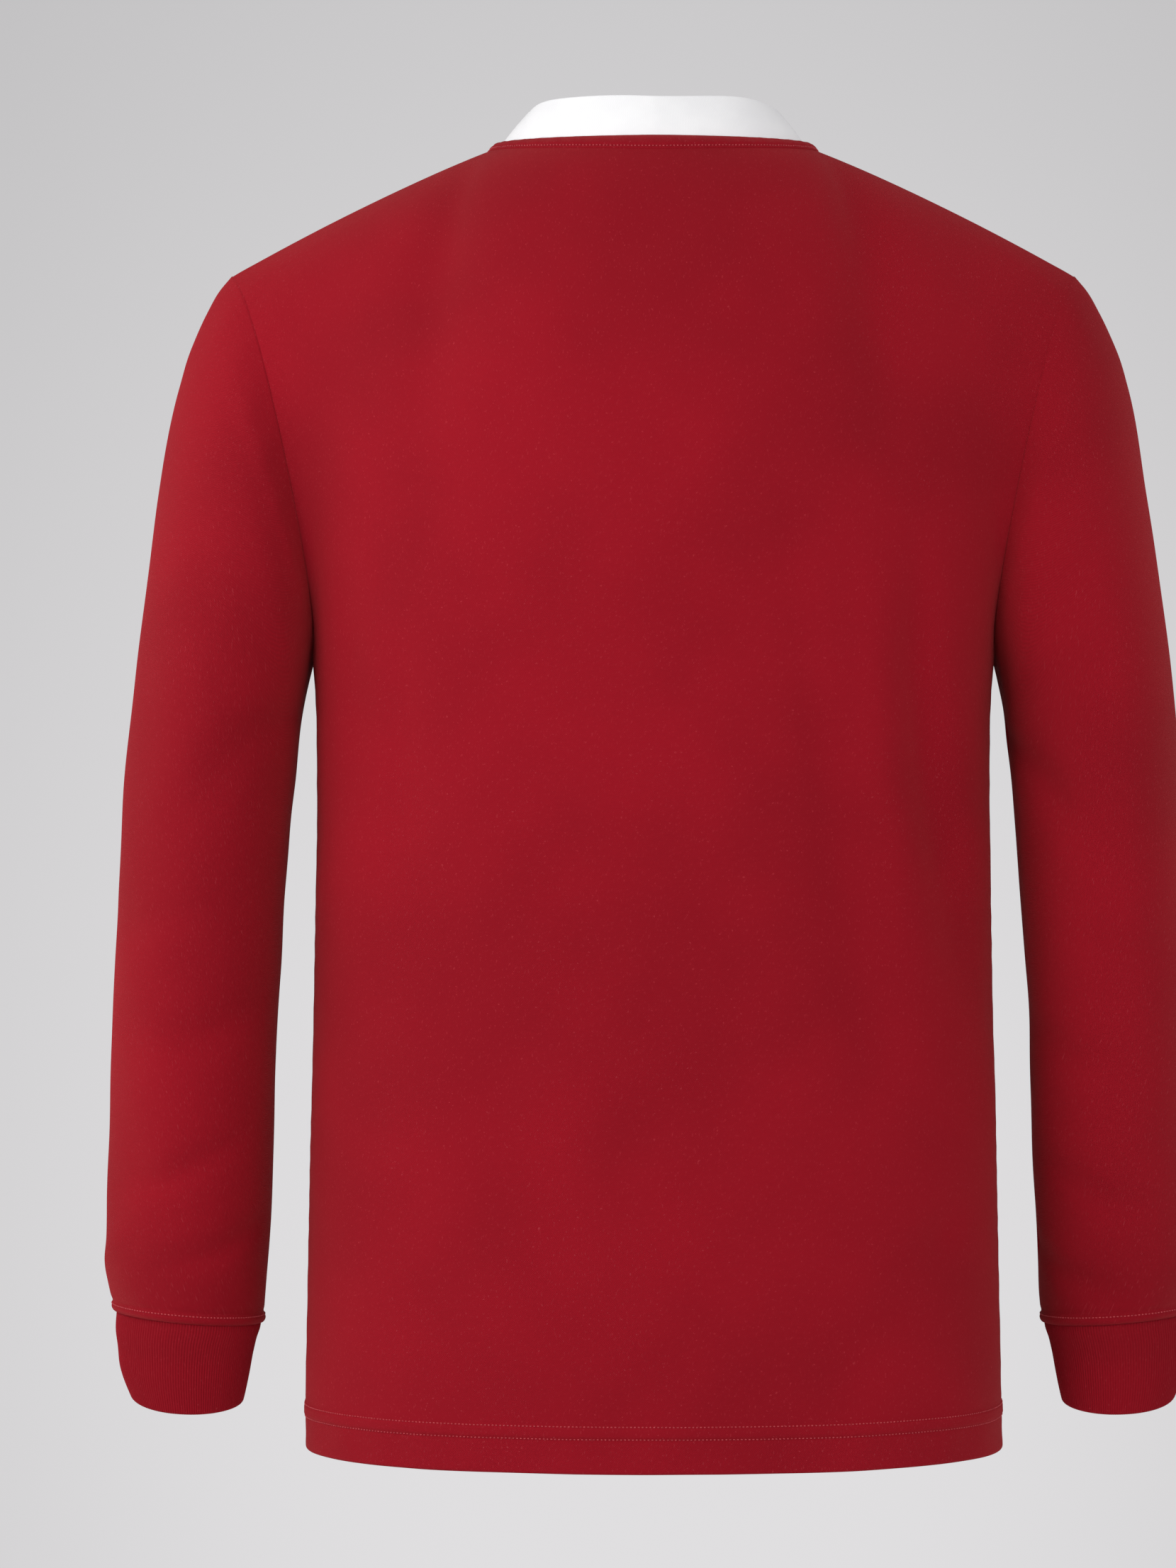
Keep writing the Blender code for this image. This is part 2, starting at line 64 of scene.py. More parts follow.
# Rows of thread: from stitch to stitch, how long and wide each is, and how far it stands off the cloth.
Sewing = namedtuple("Sewing", "pitch length width rise")
HEM_SEWING = Sewing(None, 0.0013, 0.0008, 0.0002)  # its pitch is one of the sizes
SLEEVE_SEWING = Sewing(0.0020, 0.0015, 0.0008, 0.0001)
NECK_SEWING = Sewing(0.00195, 0.0012, 0.0008, 0.0003)
PLACKET_SEWING = Sewing(0.0022, 0.0017, 0.0006, 0.0)
BUTTONHOLE_SEWING = Sewing(0.0008, 0.0012, 0.0009, 0.0)

# Levels of the body, and the neck and shoulders.
HEM_Z = -0.7312
UNDERARM_Z = -0.2846
NECK_HALF_WIDTH = 0.0885
NECK_BACK_Y = 0.0615
NECK_BACK_Z = -0.0030
NECK_FRONT_Y = -0.0830
NECK_FRONT_Z = -0.0780
NECK_SIDE_Z = 0.0005
SHOULDER_X = 0.2378
SHOULDER_SLOPE = 0.395
SHOULDER_SAG = 0.59
NECK_SHARE = 5 / 12
BACK_SQUARE = 0.63
FRONT_SQUARE = 0.62

Body = namedtuple("Body", "z half_width back front")
BODY = (
    Body(-0.7312, 0.1965, 0.1220, 0.1180),
    Body(-0.6120, 0.1944, 0.1195, 0.1170),
    Body(-0.4580, 0.1910, 0.1160, 0.1160),
    Body(-0.3580, 0.1896, 0.1145, 0.1170),
    Body(-0.3060, 0.1906, 0.1160, 0.1185),
    Body(-0.2846, 0.1924, 0.1170, 0.1190),
)

# Above the underarm each column is one cubic, from "up" at the underarm to "over" at the top edge.
Lift = namedtuple("Lift", "station up_x up_y up_z over_x over_y over_z")
BACK_LIFT = (
    Lift(0.0, 0.0, 0.016, 0.150, 0.0, 0.024, -0.026),
    Lift(0.42, 0.003, 0.014, 0.145, 0.026, 0.044, -0.0125),
    Lift(0.75, 0.000, 0.030, 0.110, 0.000, 0.054, -0.014),
    Lift(1.0, -0.0110, 0.070, 0.0100, -0.0180, 0.060, -0.0120),
)
FRONT_LIFT = (
    Lift(0.0, 0.0, -0.006, 0.085, 0.0, -0.028, -0.040),
    Lift(0.42, 0.002, -0.010, 0.120, 0.026, -0.040, -0.0125),
    Lift(0.75, -0.002, -0.026, 0.100, 0.000, -0.052, -0.014),
    Lift(1.0, -0.0130, -0.068, 0.0090, -0.0230, -0.060, -0.0120),
)

# The sleeve and its cuff, down the arm: outer and inner edge from behind, half depth and middle in Y.
Arm = namedtuple("Arm", "down out_x out_z in_x in_z half_depth middle")
SLEEVE = (
    Arm(0.000, 0.2378, -0.0717, 0.1924, -0.2846, 0.0540, 0.000),
    Arm(0.0035, 0.2442, -0.0797, 0.1926, -0.2856, 0.0572, 0.000),
    Arm(0.009, 0.2517, -0.0925, 0.1930, -0.2872, 0.0620, 0.000),
    Arm(0.018, 0.2605, -0.1115, 0.1936, -0.2902, 0.0652, 0.000),
    Arm(0.032, 0.2674, -0.1336, 0.1945, -0.2950, 0.0680, 0.000),
    Arm(0.072, 0.2794, -0.1956, 0.1972, -0.3120, 0.0685, 0.000),
    Arm(0.126, 0.2894, -0.2756, 0.2008, -0.3400, 0.0655, 0.001),
    Arm(0.189, 0.2970, -0.3556, 0.2048, -0.3850, 0.0620, 0.002),
    Arm(0.262, 0.3026, -0.4356, 0.2096, -0.4490, 0.0575, 0.001),
    Arm(0.338, 0.3062, -0.5156, 0.2130, -0.5200, 0.0530, -0.004),
    Arm(0.416, 0.3090, -0.5956, 0.2170, -0.5960, 0.0490, -0.012),
    Arm(0.467, 0.3082, -0.6436, 0.2200, -0.6500, 0.0460, -0.018),
    Arm(0.479, 0.3060, -0.6550, 0.2212, -0.6622, 0.0450, -0.019),
)
CUFF = (
    Arm(0.000, 0.3036, -0.6490, 0.2236, -0.6560, 0.0426, -0.0183),
    Arm(0.008, 0.3040, -0.6570, 0.2232, -0.6642, 0.0430, -0.0192),
    Arm(0.020, 0.3048, -0.6680, 0.2262, -0.6740, 0.0415, -0.0205),
    Arm(0.037, 0.3030, -0.6865, 0.2300, -0.6915, 0.0385, -0.0225),
    Arm(0.054, 0.2985, -0.7050, 0.2328, -0.7090, 0.0362, -0.0245),
)
ARMHOLE_BLEND = 0.13  # down the sleeve, until the armhole's own shape is gone
SLEEVE_ROUND = 0.27  # the girth on which a sleeve's creases are laid out
SLEEVE_CURL = 0.0015  # radius of the sleeve's end where it curls in over the cuff
SLEEVE_ALLOWANCE = ((0.0040, 0.0032), (0.0022, 0.0020), (0.0009, 0.0010))  # back under the body, and down
SLEEVE_HEM = 0.0036  # from the sleeve's end to its row of stitches
CUFF_ROUND = 0.250
CUFF_TURN = 0.020  # how far the inner layer of a cuff goes back up
CUFF_BACK_DROP = 0.0055  # how much lower a cuff ends at the back

# The collar's lean from upright and its slant height: 0 is the centre back, 1 the centre front.
Stand = namedtuple("Stand", "around lean height")
STAND = (
    Stand(0.00, 22.0, 0.0302),
    Stand(0.25, 28.0, 0.0326),
    Stand(0.50, 37.0, 0.0292),
    Stand(0.75, 31.0, 0.0275),
    Stand(1.00, 25.0, 0.0285),
)
NECK_MIDDLE = np.array([0.0, -0.010, 0.0])
COLLAR_REACH = 0.9971  # where the collar and the roll end, with the centre front at 1
ROLL_REACH = 0.9447
ROLL_WALL = 0.0009

# The front opening: its ends up the front panel, where 1 is the underarm and 2 the top edge.
PLACKET_END = 1.31
SLIT_END = 1.37
PLACKET_HALF = 0.015
PLACKET_WALL = 0.0012
PLACKET_COLUMNS = 16
PLACKET_INSET = 0.0025  # from the strip's edge to its stitches
BUTTON_DROPS = (0.014, 0.062, 0.110)
BUTTONHOLE = (0.0098, 0.0013)  # half of its length and of its width

# A button's outline, radius and height: the sunk middle, the raised rim and the back.
BUTTON_PROFILE = (
    (0.0, 0.0018), (0.0042, 0.0018), (0.0052, 0.0023), (0.0062, 0.0028), (0.0070, 0.0027),
    (0.00765, 0.0020), (0.00765, 0.0011), (0.0069, 0.0003), (0.0055, 0.0), (0.0, 0.0),
)

# Soft creases: a path over the cloth in metres, how wide, and how deep (a negative depth is a ridge).
Crease = namedtuple("Crease", "path width depth")
BACK_CREASES = (
    Crease(
        ((-0.069, -0.175), (-0.078, -0.270), (-0.089, -0.336), (-0.100, -0.402), (-0.123, -0.550)),
        0.011, 0.0014,
    ),
    Crease(
        ((-0.145, -0.205), (-0.145, -0.292), (-0.151, -0.336), (-0.160, -0.393), (-0.183, -0.505)),
        0.013, 0.0042,
    ),
    Crease(((-0.118, -0.215), (-0.122, -0.330), (-0.138, -0.440), (-0.152, -0.540)), 0.013, -0.0018),
    Crease(((-0.074, -0.460), (0.020, -0.492), (0.134, -0.522)), 0.020, 0.0010),
    Crease(((-0.165, -0.590), (-0.158, -0.606), (-0.150, -0.625)), 0.012, 0.0014),
    Crease(((0.139, -0.250), (0.139, -0.345), (0.143, -0.440)), 0.012, 0.0014),
    Crease(((0.172, -0.230), (0.166, -0.300), (0.168, -0.380)), 0.010, 0.0012),
    Crease(((0.060, -0.045), (0.020, -0.060), (-0.040, -0.050)), 0.012, 0.0006),
)
FRONT_CREASES = (
    Crease(((0.150, -0.200), (0.140, -0.300), (0.152, -0.420)), 0.013, 0.0026),
    Crease(((-0.150, -0.190), (-0.138, -0.280), (-0.148, -0.400)), 0.013, 0.0030),
    Crease(((0.040, -0.170), (0.060, -0.260), (0.066, -0.360)), 0.016, 0.0013),
    Crease(((-0.035, -0.180), (-0.048, -0.270), (-0.044, -0.390)), 0.015, 0.0012),
    Crease(((-0.120, -0.480), (-0.020, -0.505), (0.090, -0.490)), 0.022, 0.0011),
    Crease(((0.110, -0.600), (0.128, -0.650), (0.132, -0.700)), 0.014, 0.0012),
)

# On a sleeve the path runs round the arm, from the side next to the body over the back, and down it.
ARM_CREASES = (
    Crease(((0.030, 0.055), (0.075, 0.095), (0.115, 0.150)), 0.011, 0.0016),
    Crease(((0.012, 0.085), (0.050, 0.140), (0.080, 0.210)), 0.010, 0.0018),
    Crease(((0.060, 0.245), (0.095, 0.262), (0.130, 0.258)), 0.010, 0.0012),
    Crease(((0.020, 0.290), (0.060, 0.318), (0.105, 0.330)), 0.011, 0.0013),
    Crease(((0.030, 0.372), (0.075, 0.398), (0.120, 0.405)), 0.009, 0.0014),
    Crease(((0.010, 0.420), (0.050, 0.440), (0.090, 0.452)), 0.008, 0.0015),
    Crease(((0.095, 0.425), (0.120, 0.445), (0.140, 0.462)), 0.008, -0.0010),
    Crease(((0.200, 0.070), (0.225, 0.130), (0.235, 0.190)), 0.012, 0.0015),
    Crease(((0.180, 0.300), (0.215, 0.330), (0.235, 0.345)), 0.011, 0.0014),
    Crease(((0.170, 0.400), (0.205, 0.425), (0.235, 0.435)), 0.009, 0.0014),
)

Row = namedtuple("Row", "points normals")


def cubic(rows, column, at):
    """A table's column on a smooth curve, at the given places of its first column, which rises."""
    keys = np.array([row[0] for row in rows])
    values = np.array([getattr(row, column) for row in rows])
    slopes = np.gradient(values, keys)
    at = np.clip(np.asarray(at, float), keys[0], keys[-1])
    i = np.clip(np.searchsorted(keys, at) - 1, 0, len(keys) - 2)
    width = keys[i + 1] - keys[i]
    t = (at - keys[i]) / width
    start = values[i] * (2 * t**3 - 3 * t**2 + 1) + slopes[i] * width * (t**3 - 2 * t**2 + t)
    end = values[i + 1] * (3 * t**2 - 2 * t**3) + slopes[i + 1] * width * (t**3 - t**2)
    return start + end


def bezier(p0, p1, p2, p3, t):
    t = np.asarray(t)[..., None]
    return (1 - t) ** 3 * p0 + 3 * (1 - t) ** 2 * t * p1 + 3 * (1 - t) * t**2 * p2 + t**3 * p3


def unit(vectors):
    return vectors / np.maximum(np.linalg.norm(vectors, axis=-1, keepdims=True), 1e-12)


def smooth_step(t):
    t = np.clip(t, 0, 1)
    return t * t * (3 - 2 * t)


def bump(distance, width):
    return np.exp(-((distance / width) ** 2))


def body_ring(side, u, z):
    """Below the underarm: side 1 is the back and -1 the front; u is -1 to 1 between the side seams."""
    square = BACK_SQUARE if side > 0 else FRONT_SQUARE
    across = np.abs(u)
    x = 3 * (1 - across) ** 2 * across * square + 3 * (1 - across) * across**2 + across**3
    y = (1 - across) ** 3 + 3 * (1 - across) ** 2 * across + 3 * (1 - across) * across**2 * square
    depth = cubic(BODY, "back" if side > 0 else "front", z)
    return np.stack([np.sign(u) * x * cubic(BODY, "half_width", z), side * y * depth, z + 0 * u], -1)


def top_edge(side, u):
    """The neckline from the centre out to the side-neck point, then the shoulder seam."""
    across = np.abs(u)
    turn = np.clip(across / NECK_SHARE, 0, 1) * np.pi / 2
    out = np.clip((across - NECK_SHARE) / (1 - NECK_SHARE), 0, 1) * (SHOULDER_X - NECK_HALF_WIDTH)
    neck_y = NECK_BACK_Y if side > 0 else NECK_FRONT_Y
    neck_z = NECK_BACK_Z if side > 0 else NECK_FRONT_Z
    dip = np.cos(turn) ** (1.0 if side > 0 else 1.5)
    x = NECK_HALF_WIDTH * np.sin(turn) + out
    z = NECK_SIDE_Z + (neck_z - NECK_SIDE_Z) * dip - SHOULDER_SLOPE * out - SHOULDER_SAG * out**2
    return np.stack([np.sign(u) * x, neck_y * np.cos(turn), z], -1)


def lift(rows, end, u):
    arm = [cubic(rows, f"{end}_{axis}", np.abs(u)) for axis in "xyz"]
    return np.stack([np.sign(u) * arm[0], arm[1], arm[2]], -1)


def torso(side, u, v):
    """A point of the front or back: v is 0 at the hem, 1 at the underarm and 2 at the top edge."""
    u, v = np.broadcast_arrays(np.asarray(u, float), np.asarray(v, float))
    level = HEM_Z + (UNDERARM_Z - HEM_Z) * np.clip(v, 0, 1)
    low = body_ring(side, u, level)
    rows = BACK_LIFT if side > 0 else FRONT_LIFT
    top = top_edge(side, u)
    high = bezier(low, low + lift(rows, "up", u), top + lift(rows, "over", u), top, np.clip(v - 1, 0, 1))
    return np.where((v > 1)[..., None], high, low)


def arm_ring(rows, down, angle):
    """Rings of the left arm: angle 0 is the side next to the body, a quarter turn the back."""
    outer = np.stack([cubic(rows, "out_x", down), 0 * down, cubic(rows, "out_z", down)], -1)
    inner = np.stack([cubic(rows, "in_x", down), 0 * down, cubic(rows, "in_z", down)], -1)
    depth = np.stack([0 * down, cubic(rows, "half_depth", down), 0 * down], -1)
    middle = (outer + inner) / 2 + np.stack([0 * down, cubic(rows, "middle", down), 0 * down], -1)
    return middle - np.cos(angle)[..., None] * (outer - inner) / 2 + np.sin(angle)[..., None] * depth


def armhole(count):
    """The left armhole as a loop: up the back from the underarm to the shoulder, then down the front."""
    rise = np.linspace(1, 2, count)
    back = torso(1, np.ones(count), rise)
    front = torso(-1, np.ones(count), rise)
    return np.concatenate([back, front[-2::-1]])


def sleeve_angles(loop):
    """Where each point of the armhole lies round the sleeve's first ring; the last closes the turn."""
    first = SLEEVE[0]
    axis = np.array([first.out_x - first.in_x, 0, first.out_z - first.in_z]) / 2
    middle = np.array([first.out_x + first.in_x, 0, first.out_z + first.in_z]) / 2
    along = (loop - middle) @ axis / (axis @ axis)
    angle = np.arctan2(loop[:, 1] / first.half_depth, -along) % (2 * np.pi)
    angle[0] = 0.0
    angle[-1] = 2 * np.pi
    return angle


def eased(count, tightness):
    """Shares from 0 to 1 that lie closer together towards both ends."""
    share = np.arange(count + 1) / count
    return share - tightness * np.sin(2 * np.pi * share) / (2 * np.pi)


def lengths(points, axis):
    """How far each point of a grid lies along its row or column, measured on the cloth."""
    step = np.linalg.norm(np.diff(points, axis=axis), axis=-1)
    start = np.zeros_like(np.take(step, [0], axis))
    return np.concatenate([start, np.cumsum(step, axis)], axis)


def grid_normals(points, closed=False):
    """Unit normals of a grid of points.

    They point outwards where columns run to +X and rows run up at the front, or down at the back."""
    if closed:
        wide = np.concatenate([points[:, -2:-1], points, points[:, 1:2]], 1)
        across = wide[:, 2:] - wide[:, :-2]
    else:
        across = np.gradient(points, axis=1)
    along = np.gradient(points, axis=0)
    return unit(np.cross(across, along))


def crease_relief(creases, x, z):
    """How far soft creases lift or sink the cloth at (x, z), fading at both ends of each."""
    total = np.zeros_like(x)
    for crease in creases:
        path = np.array(crease.path)
        reach = lengths(path, 0)
        nearest = np.full(x.shape, 1e9)
        share = np.zeros_like(x)
        for start, end, begin, size in zip(path[:-1], path[1:], reach, np.diff(reach)):
            run = end - start
            t = np.clip(((x - start[0]) * run[0] + (z - start[1]) * run[1]) / (run @ run), 0, 1)
            away = np.hypot(x - start[0] - t * run[0], z - start[1] - t * run[1])
            closer = away < nearest
            nearest = np.where(closer, away, nearest)
            share = np.where(closer, (begin + t * size) / reach[-1], share)
        width = crease.width * (0.75 + 0.5 * share)
        fade = np.sin(np.pi * np.clip(share, 0.02, 0.98)) ** 0.8
        total -= CREASE_SIZE * crease.depth * bump(nearest, width) * fade
    return total


def drift(x, z, size, turn=0.0):
    """The slow unevenness of cloth that hangs over air."""
    waves = (
        (0.31, 0.13, 0.0, 0.42),
        (0.12, -0.29, 1.7, 0.33),
        (-0.075, 0.19, 4.1, 0.25),
        (0.052, 0.071, 2.6, 0.14),
        (0.039, -0.055, 5.2, 0.09),
    )
    total = np.zeros_like(x)
    for across, along, start, share in waves:
        total += share * np.sin(2 * np.pi * (x / across + z / along) + start + turn)
    return size * total


def relaxed(points, level):
    """The grid with short kinks eased out above the underarm; its edges and everything below stay."""
    free = (smooth_step((level - 1.0) / 0.25) * smooth_step((2.0 - level) / 0.03))[:, None, None]
    sides = smooth_step(np.minimum(np.arange(points.shape[1]), np.arange(points.shape[1])[::-1]) / 14)
    free = (free * sides[None, :, None])[1:-1, 1:-1]
    eased_points = points.copy()
    for _ in range(90):
        for step in (0.55, -0.56):
            beside = eased_points[1:-1, :-2] + eased_points[1:-1, 2:]
            above = eased_points[:-2, 1:-1] + eased_points[2:, 1:-1]
            middle = eased_points[1:-1, 1:-1]
            middle += step * free * ((beside + above) / 4 - middle)
    return eased_points


def linked(name, data):
    """A new object in the scene for a mesh, a light or a camera."""
    thing = bpy.data.objects.new(name, data)
    bpy.context.scene.collection.objects.link(thing)
    return thing


def made_of(shape, name, *materials):
    """The object that a bmesh becomes, with its materials in order."""
    mesh = bpy.data.meshes.new(name)
    shape.to_mesh(mesh)
    shape.free()
    for material in materials:
        mesh.materials.append(material)
    return linked(name, mesh)


def make_cloth(name, points, finish, wall, closed=False, slit=None, flip=False):
    """A cloth piece: a grid moved onto the points and welded where it closes, with a map in metres."""
    rows, columns = points.shape[0] - 1, points.shape[1] - 1
    shape = bmesh.new()
    bmesh.ops.create_grid(shape, x_segments=columns, y_segments=rows, size=1.0)
    for vertex, point in zip(shape.verts, points.reshape(-1, 3)):
        vertex.co = point
    across = lengths(points, 1)
    across = across - across[:, columns // 2][:, None]
    chart = np.stack([across, lengths(points, 0)], -1).reshape(-1, 2)
    shape.verts.index_update()
    cloth_map = shape.loops.layers.uv.new("cloth")
    for face in shape.faces:
        face.smooth = True
        for corner in face.loops:
            corner[cloth_map].uv = chart[corner.vert.index]
    if slit is not None:
        shape.verts.ensure_lookup_table()
        cut = []
        for edge in shape.edges:
            low, high = sorted(vertex.index for vertex in edge.verts)
            upright = low % (columns + 1) == high % (columns + 1) == columns // 2
            if upright and low // (columns + 1) >= slit:
                cut.append(edge)
        bmesh.ops.split_edges(shape, edges=cut)
    if closed:
        rim = [vertex for vertex in shape.verts if vertex.is_boundary]
        bmesh.ops.remove_doubles(shape, verts=rim, dist=1e-6)
    if flip:
        bmesh.ops.reverse_faces(shape, faces=shape.faces[:])
    for edge in shape.edges:
        edge.smooth = not edge.is_boundary
    thing = made_of(shape, name, finish)
    solid = thing.modifiers.new("wall", "SOLIDIFY")
    solid.thickness = wall
    solid.offset = -1.0
    solid.use_rim = True
    return thing


def at_reach(at, reach, values):
    """The values at places along a row, given how far along each of them lies."""
    return np.stack([np.interp(at, reach, values[:, axis]) for axis in range(3)], -1)


def resample(row, pitch):
    """Places a pitch apart along a row: the point, the way along the row and the normal there."""
    reach = lengths(row.points, 0)
    count = int(reach[-1] / pitch)
    at = (np.arange(count) + 0.5) * reach[-1] / count
    step = 1e-4
    ahead = at_reach(at + step, reach, row.points) - at_reach(at - step, reach, row.points)
    return at_reach(at, reach, row.points), unit(ahead), unit(at_reach(at, reach, row.normals))


def make_stitches(name, rows, sewing, finish):
    """Rows of stitches, each a small long bead that lies half sunk in the cloth."""
    shape = bmesh.new()
    bundle_mesh = bpy.data.meshes.new("bundle")
    places = [place for row in rows for place in zip(*resample(row, sewing.pitch))]
    for start in range(0, len(places), BUNDLE):
        bundle = bmesh.new()
        for point, way, normal in places[start : start + BUNDLE]:
            across = np.cross(normal, way) * sewing.width / 2
            axes = Matrix((way * sewing.length / 2, across, normal * sewing.width / 2))
            turn = axes.transposed().to_4x4()
            turn.translation = Vector(point + normal * sewing.rise)
            bmesh.ops.create_uvsphere(bundle, u_segments=6, v_segments=4, radius=1.0, matrix=turn)
        bundle.to_mesh(bundle_mesh)
        bundle.free()
        shape.from_mesh(bundle_mesh)
    bpy.data.meshes.remove(bundle_mesh)
    for face in shape.faces:
        face.smooth = True
    return made_of(shape, name, finish)


def node(tree, kind, links=None, **settings):
    """A shader node with its settings; links gives its inputs, each a value or another node's output."""
    made = tree.nodes.new(kind)
    for key, value in settings.items():
        setattr(made, key, value)
    for key, value in (links or {}).items():
        if isinstance(value, bpy.types.NodeSocket):
            tree.links.new(value, made.inputs[key])
        else:
            made.inputs[key].default_value = value
    return made


def scaled(tree, vector, scale, turn=0.0):
    """The vector stretched, and turned about Z."""
    links = {"Vector": vector, "Scale": scale, "Rotation": (0.0, 0.0, turn)}
    return node(tree, "ShaderNodeMapping", links).outputs["Vector"]


def mixed(tree, share, first, second, blend="MIX"):
    links = {0: share, 6: first, 7: second}
    return node(tree, "ShaderNodeMix", links, data_type="RGBA", blend_type=blend).outputs[2]


def ramped(tree, value, low, high, start=0.0, end=1.0):
    """The value between low and high, spread from start to end."""
    links = {"Value": value, "From Min": low, "From Max": high, "To Min": start, "To Max": end}
    return node(tree, "ShaderNodeMapRange", links, interpolation_type="SMOOTHSTEP").outputs["Result"]


def product(tree, first, second, operation="MULTIPLY"):
    return node(tree, "ShaderNodeMath", {0: first, 1: second}, operation=operation).outputs[0]


def noise(tree, place, scale, detail=2.0, output="Fac"):
    links = {"Vector": place, "Scale": scale, "Detail": detail}
    return node(tree, "ShaderNodeTexNoise", links).outputs[output]


def moved(tree, first, links, operation):
    """One step of sums on a vector."""
    return node(tree, "ShaderNodeVectorMath", {0: first, **links}, operation=operation).outputs[0]


def raised(tree, height, strength, distance, links=None):
    """The normal that a height gives."""
    links = {"Height": height, "Strength": strength, "Distance": distance, **(links or {})}
    return node(tree, "ShaderNodeBump", links).outputs["Normal"]


def new_finish(name, roughness, specular, sheen=0.0):
    """A new material with its shader's own numbers set: the material, its tree and the shader's inputs."""
    made = bpy.data.materials.new(name)
    made.use_nodes = True
    sockets = made.node_tree.nodes["Principled BSDF"].inputs
    sockets["Roughness"].default_value = roughness
    sockets["Specular IOR Level"].default_value = specular
    sockets["Sheen Weight"].default_value = sheen
    return made, made.node_tree, sockets


def knit_finish(name, colour, specks, wale, course, strength, sheen):
    """Knitted cotton: columns of loops a wale apart, uneven dye, paler lint, painted shade in the hollows
    between the loops with painted light on their tops, and the nap's soft sheen.
    """
    made, tree, sockets = new_finish(name, 0.88, 0.10, sheen)
    sockets["Sheen Roughness"].default_value = 0.45
    sockets["Sheen Tint"].default_value = (1.0, 0.16, 0.14, 1.0)
    chart = node(tree, "ShaderNodeUVMap", uv_map="cloth").outputs["UV"]
    place = node(tree, "ShaderNodeTexCoord").outputs["Object"]
    wander = moved(tree, noise(tree, chart, 260.0, output="Color"), {1: (0.5, 0.5, 0.5)}, "SUBTRACT")
    wander = moved(tree, wander, {"Scale": 0.0009}, "SCALE")
    loops = moved(tree, chart, {1: wander}, "ADD")
    across = node(tree, "ShaderNodeTexWave", {"Vector": loops, "Scale": BANDS / wale}, bands_direction="X")
    along = node(tree, "ShaderNodeTexWave", {"Vector": loops, "Scale": BANDS / course}, bands_direction="Y")
    across = product(tree, across.outputs["Fac"], 0.5, "SUBTRACT")
    along = product(tree, along.outputs["Fac"], 0.5, "SUBTRACT")
    loop_height = product(tree, product(tree, product(tree, across, along), 2.0), 0.5, "ADD")
    height = product(tree, loop_height, product(tree, noise(tree, chart, 1500.0), 0.9), "ADD")
    tree.links.new(raised(tree, height, strength, 0.00045), sockets["Normal"])
    deep = tuple(channel * 0.86 for channel in colour[:3]) + (1.0,)
    base = mixed(tree, ramped(tree, noise(tree, place, 7.0), 0.35, 0.65), deep, colour)
    # Painted shade and light: the colour is darkened in the hollows between the loops and lightened on
    # their tops, following the same loop height that makes the bump.
    shade = ramped(tree, loop_height, 0.1, 0.9, 0.86, 1.05)
    painted_loop_shade = node(tree, "ShaderNodeCombineColor", {"Red": shade, "Green": shade, "Blue": shade})
    base = mixed(tree, 1.0, base, painted_loop_shade.outputs["Color"], "MULTIPLY")
    streak = noise(tree, scaled(tree, chart, (1100.0, 420.0, 1.0), 0.6), 1.0)
    base = mixed(tree, ramped(tree, streak, 0.60, 0.74, 0.0, 0.30), base, specks)
    lint = noise(tree, chart, 620.0, 1.0)
    base = mixed(tree, ramped(tree, lint, 0.70, 0.76, 0.0, 0.45), base, specks)
    tree.links.new(base, sockets["Base Color"])
    return made


def twill_finish(name, colour, shadow):
    """Close white cotton twill: a fine slanting line, slightly uneven."""
    made, tree, sockets = new_finish(name, 0.82, 0.2, 0.12)
    chart = node(tree, "ShaderNodeUVMap", uv_map="cloth").outputs["UV"]
    slanted = scaled(tree, chart, (1.0, 1.0, 1.0), 0.9)
    rib = {"Vector": slanted, "Scale": BANDS / 0.0007, "Distortion": 0.6, "Detail": 1.0}
    lines = node(tree, "ShaderNodeTexWave", rib).outputs["Fac"]
    cloud = noise(tree, chart, 45.0, 3.0)
    fine = raised(tree, product(tree, lines, noise(tree, chart, 1700.0, 1.0), "ADD"), 0.25, 0.0002)
    tree.links.new(raised(tree, cloud, 0.30, 0.0012, {"Normal": fine}), sockets["Normal"])
    tree.links.new(mixed(tree, ramped(tree, cloud, 0.30, 0.70), shadow, colour), sockets["Base Color"])
    return made


def plain_finish(name, colour, shadow, roughness, scale):
    """Moulded rubber or twisted thread: a fine mottle and a slight bump on the object's own coordinates."""
    made, tree, sockets = new_finish(name, roughness, 0.3)
    mottle = noise(tree, node(tree, "ShaderNodeTexCoord").outputs["Object"], scale)
    tree.links.new(raised(tree, mottle, 0.3, 0.0001), sockets["Normal"])
    tree.links.new(mixed(tree, ramped(tree, mottle, 0.3, 0.7), shadow, colour), sockets["Base Color"])
    return made


def rgba(colour):
    return tuple(colour) + (1.0,)


def finishes():
    """The shirt's finishes, made once."""
    look = bpy.context.scene.shirt_colours
    red, speck = rgba(look.jersey), rgba(look.lint)
    deep = rgba([channel * 0.8 for channel in look.jersey])
    white, grey, rubber = rgba(look.collar), rgba(look.collar_shade), rgba(look.button)
    makers = {
        "red_jersey_knit": (knit_finish, red, speck, 0.0011, 0.0009, 0.55, 0.22),
        "red_rib_knit": (knit_finish, red, speck, 0.0008, 0.0008, 0.40, 0.16),
        "white_collar_twill": (twill_finish, white, grey),
        "pale_rubber": (plain_finish, rubber, grey, 0.5, 400.0),
        "red_thread": (plain_finish, rgba(look.thread), deep, 0.7, 2500.0),
        "white_thread": (plain_finish, white, rubber, 0.7, 2500.0),
    }
    ready = bpy.data.materials
    return {name: ready.get(name) or make(name, *looks) for name, (make, *looks) in makers.items()}


def finished(piece, slot, *nodes):
    """Rides on the one body and stands for its CAD nodes; the slot is not used."""
    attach(piece, "root")
    if nodes:
        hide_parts(*nodes)
    return piece


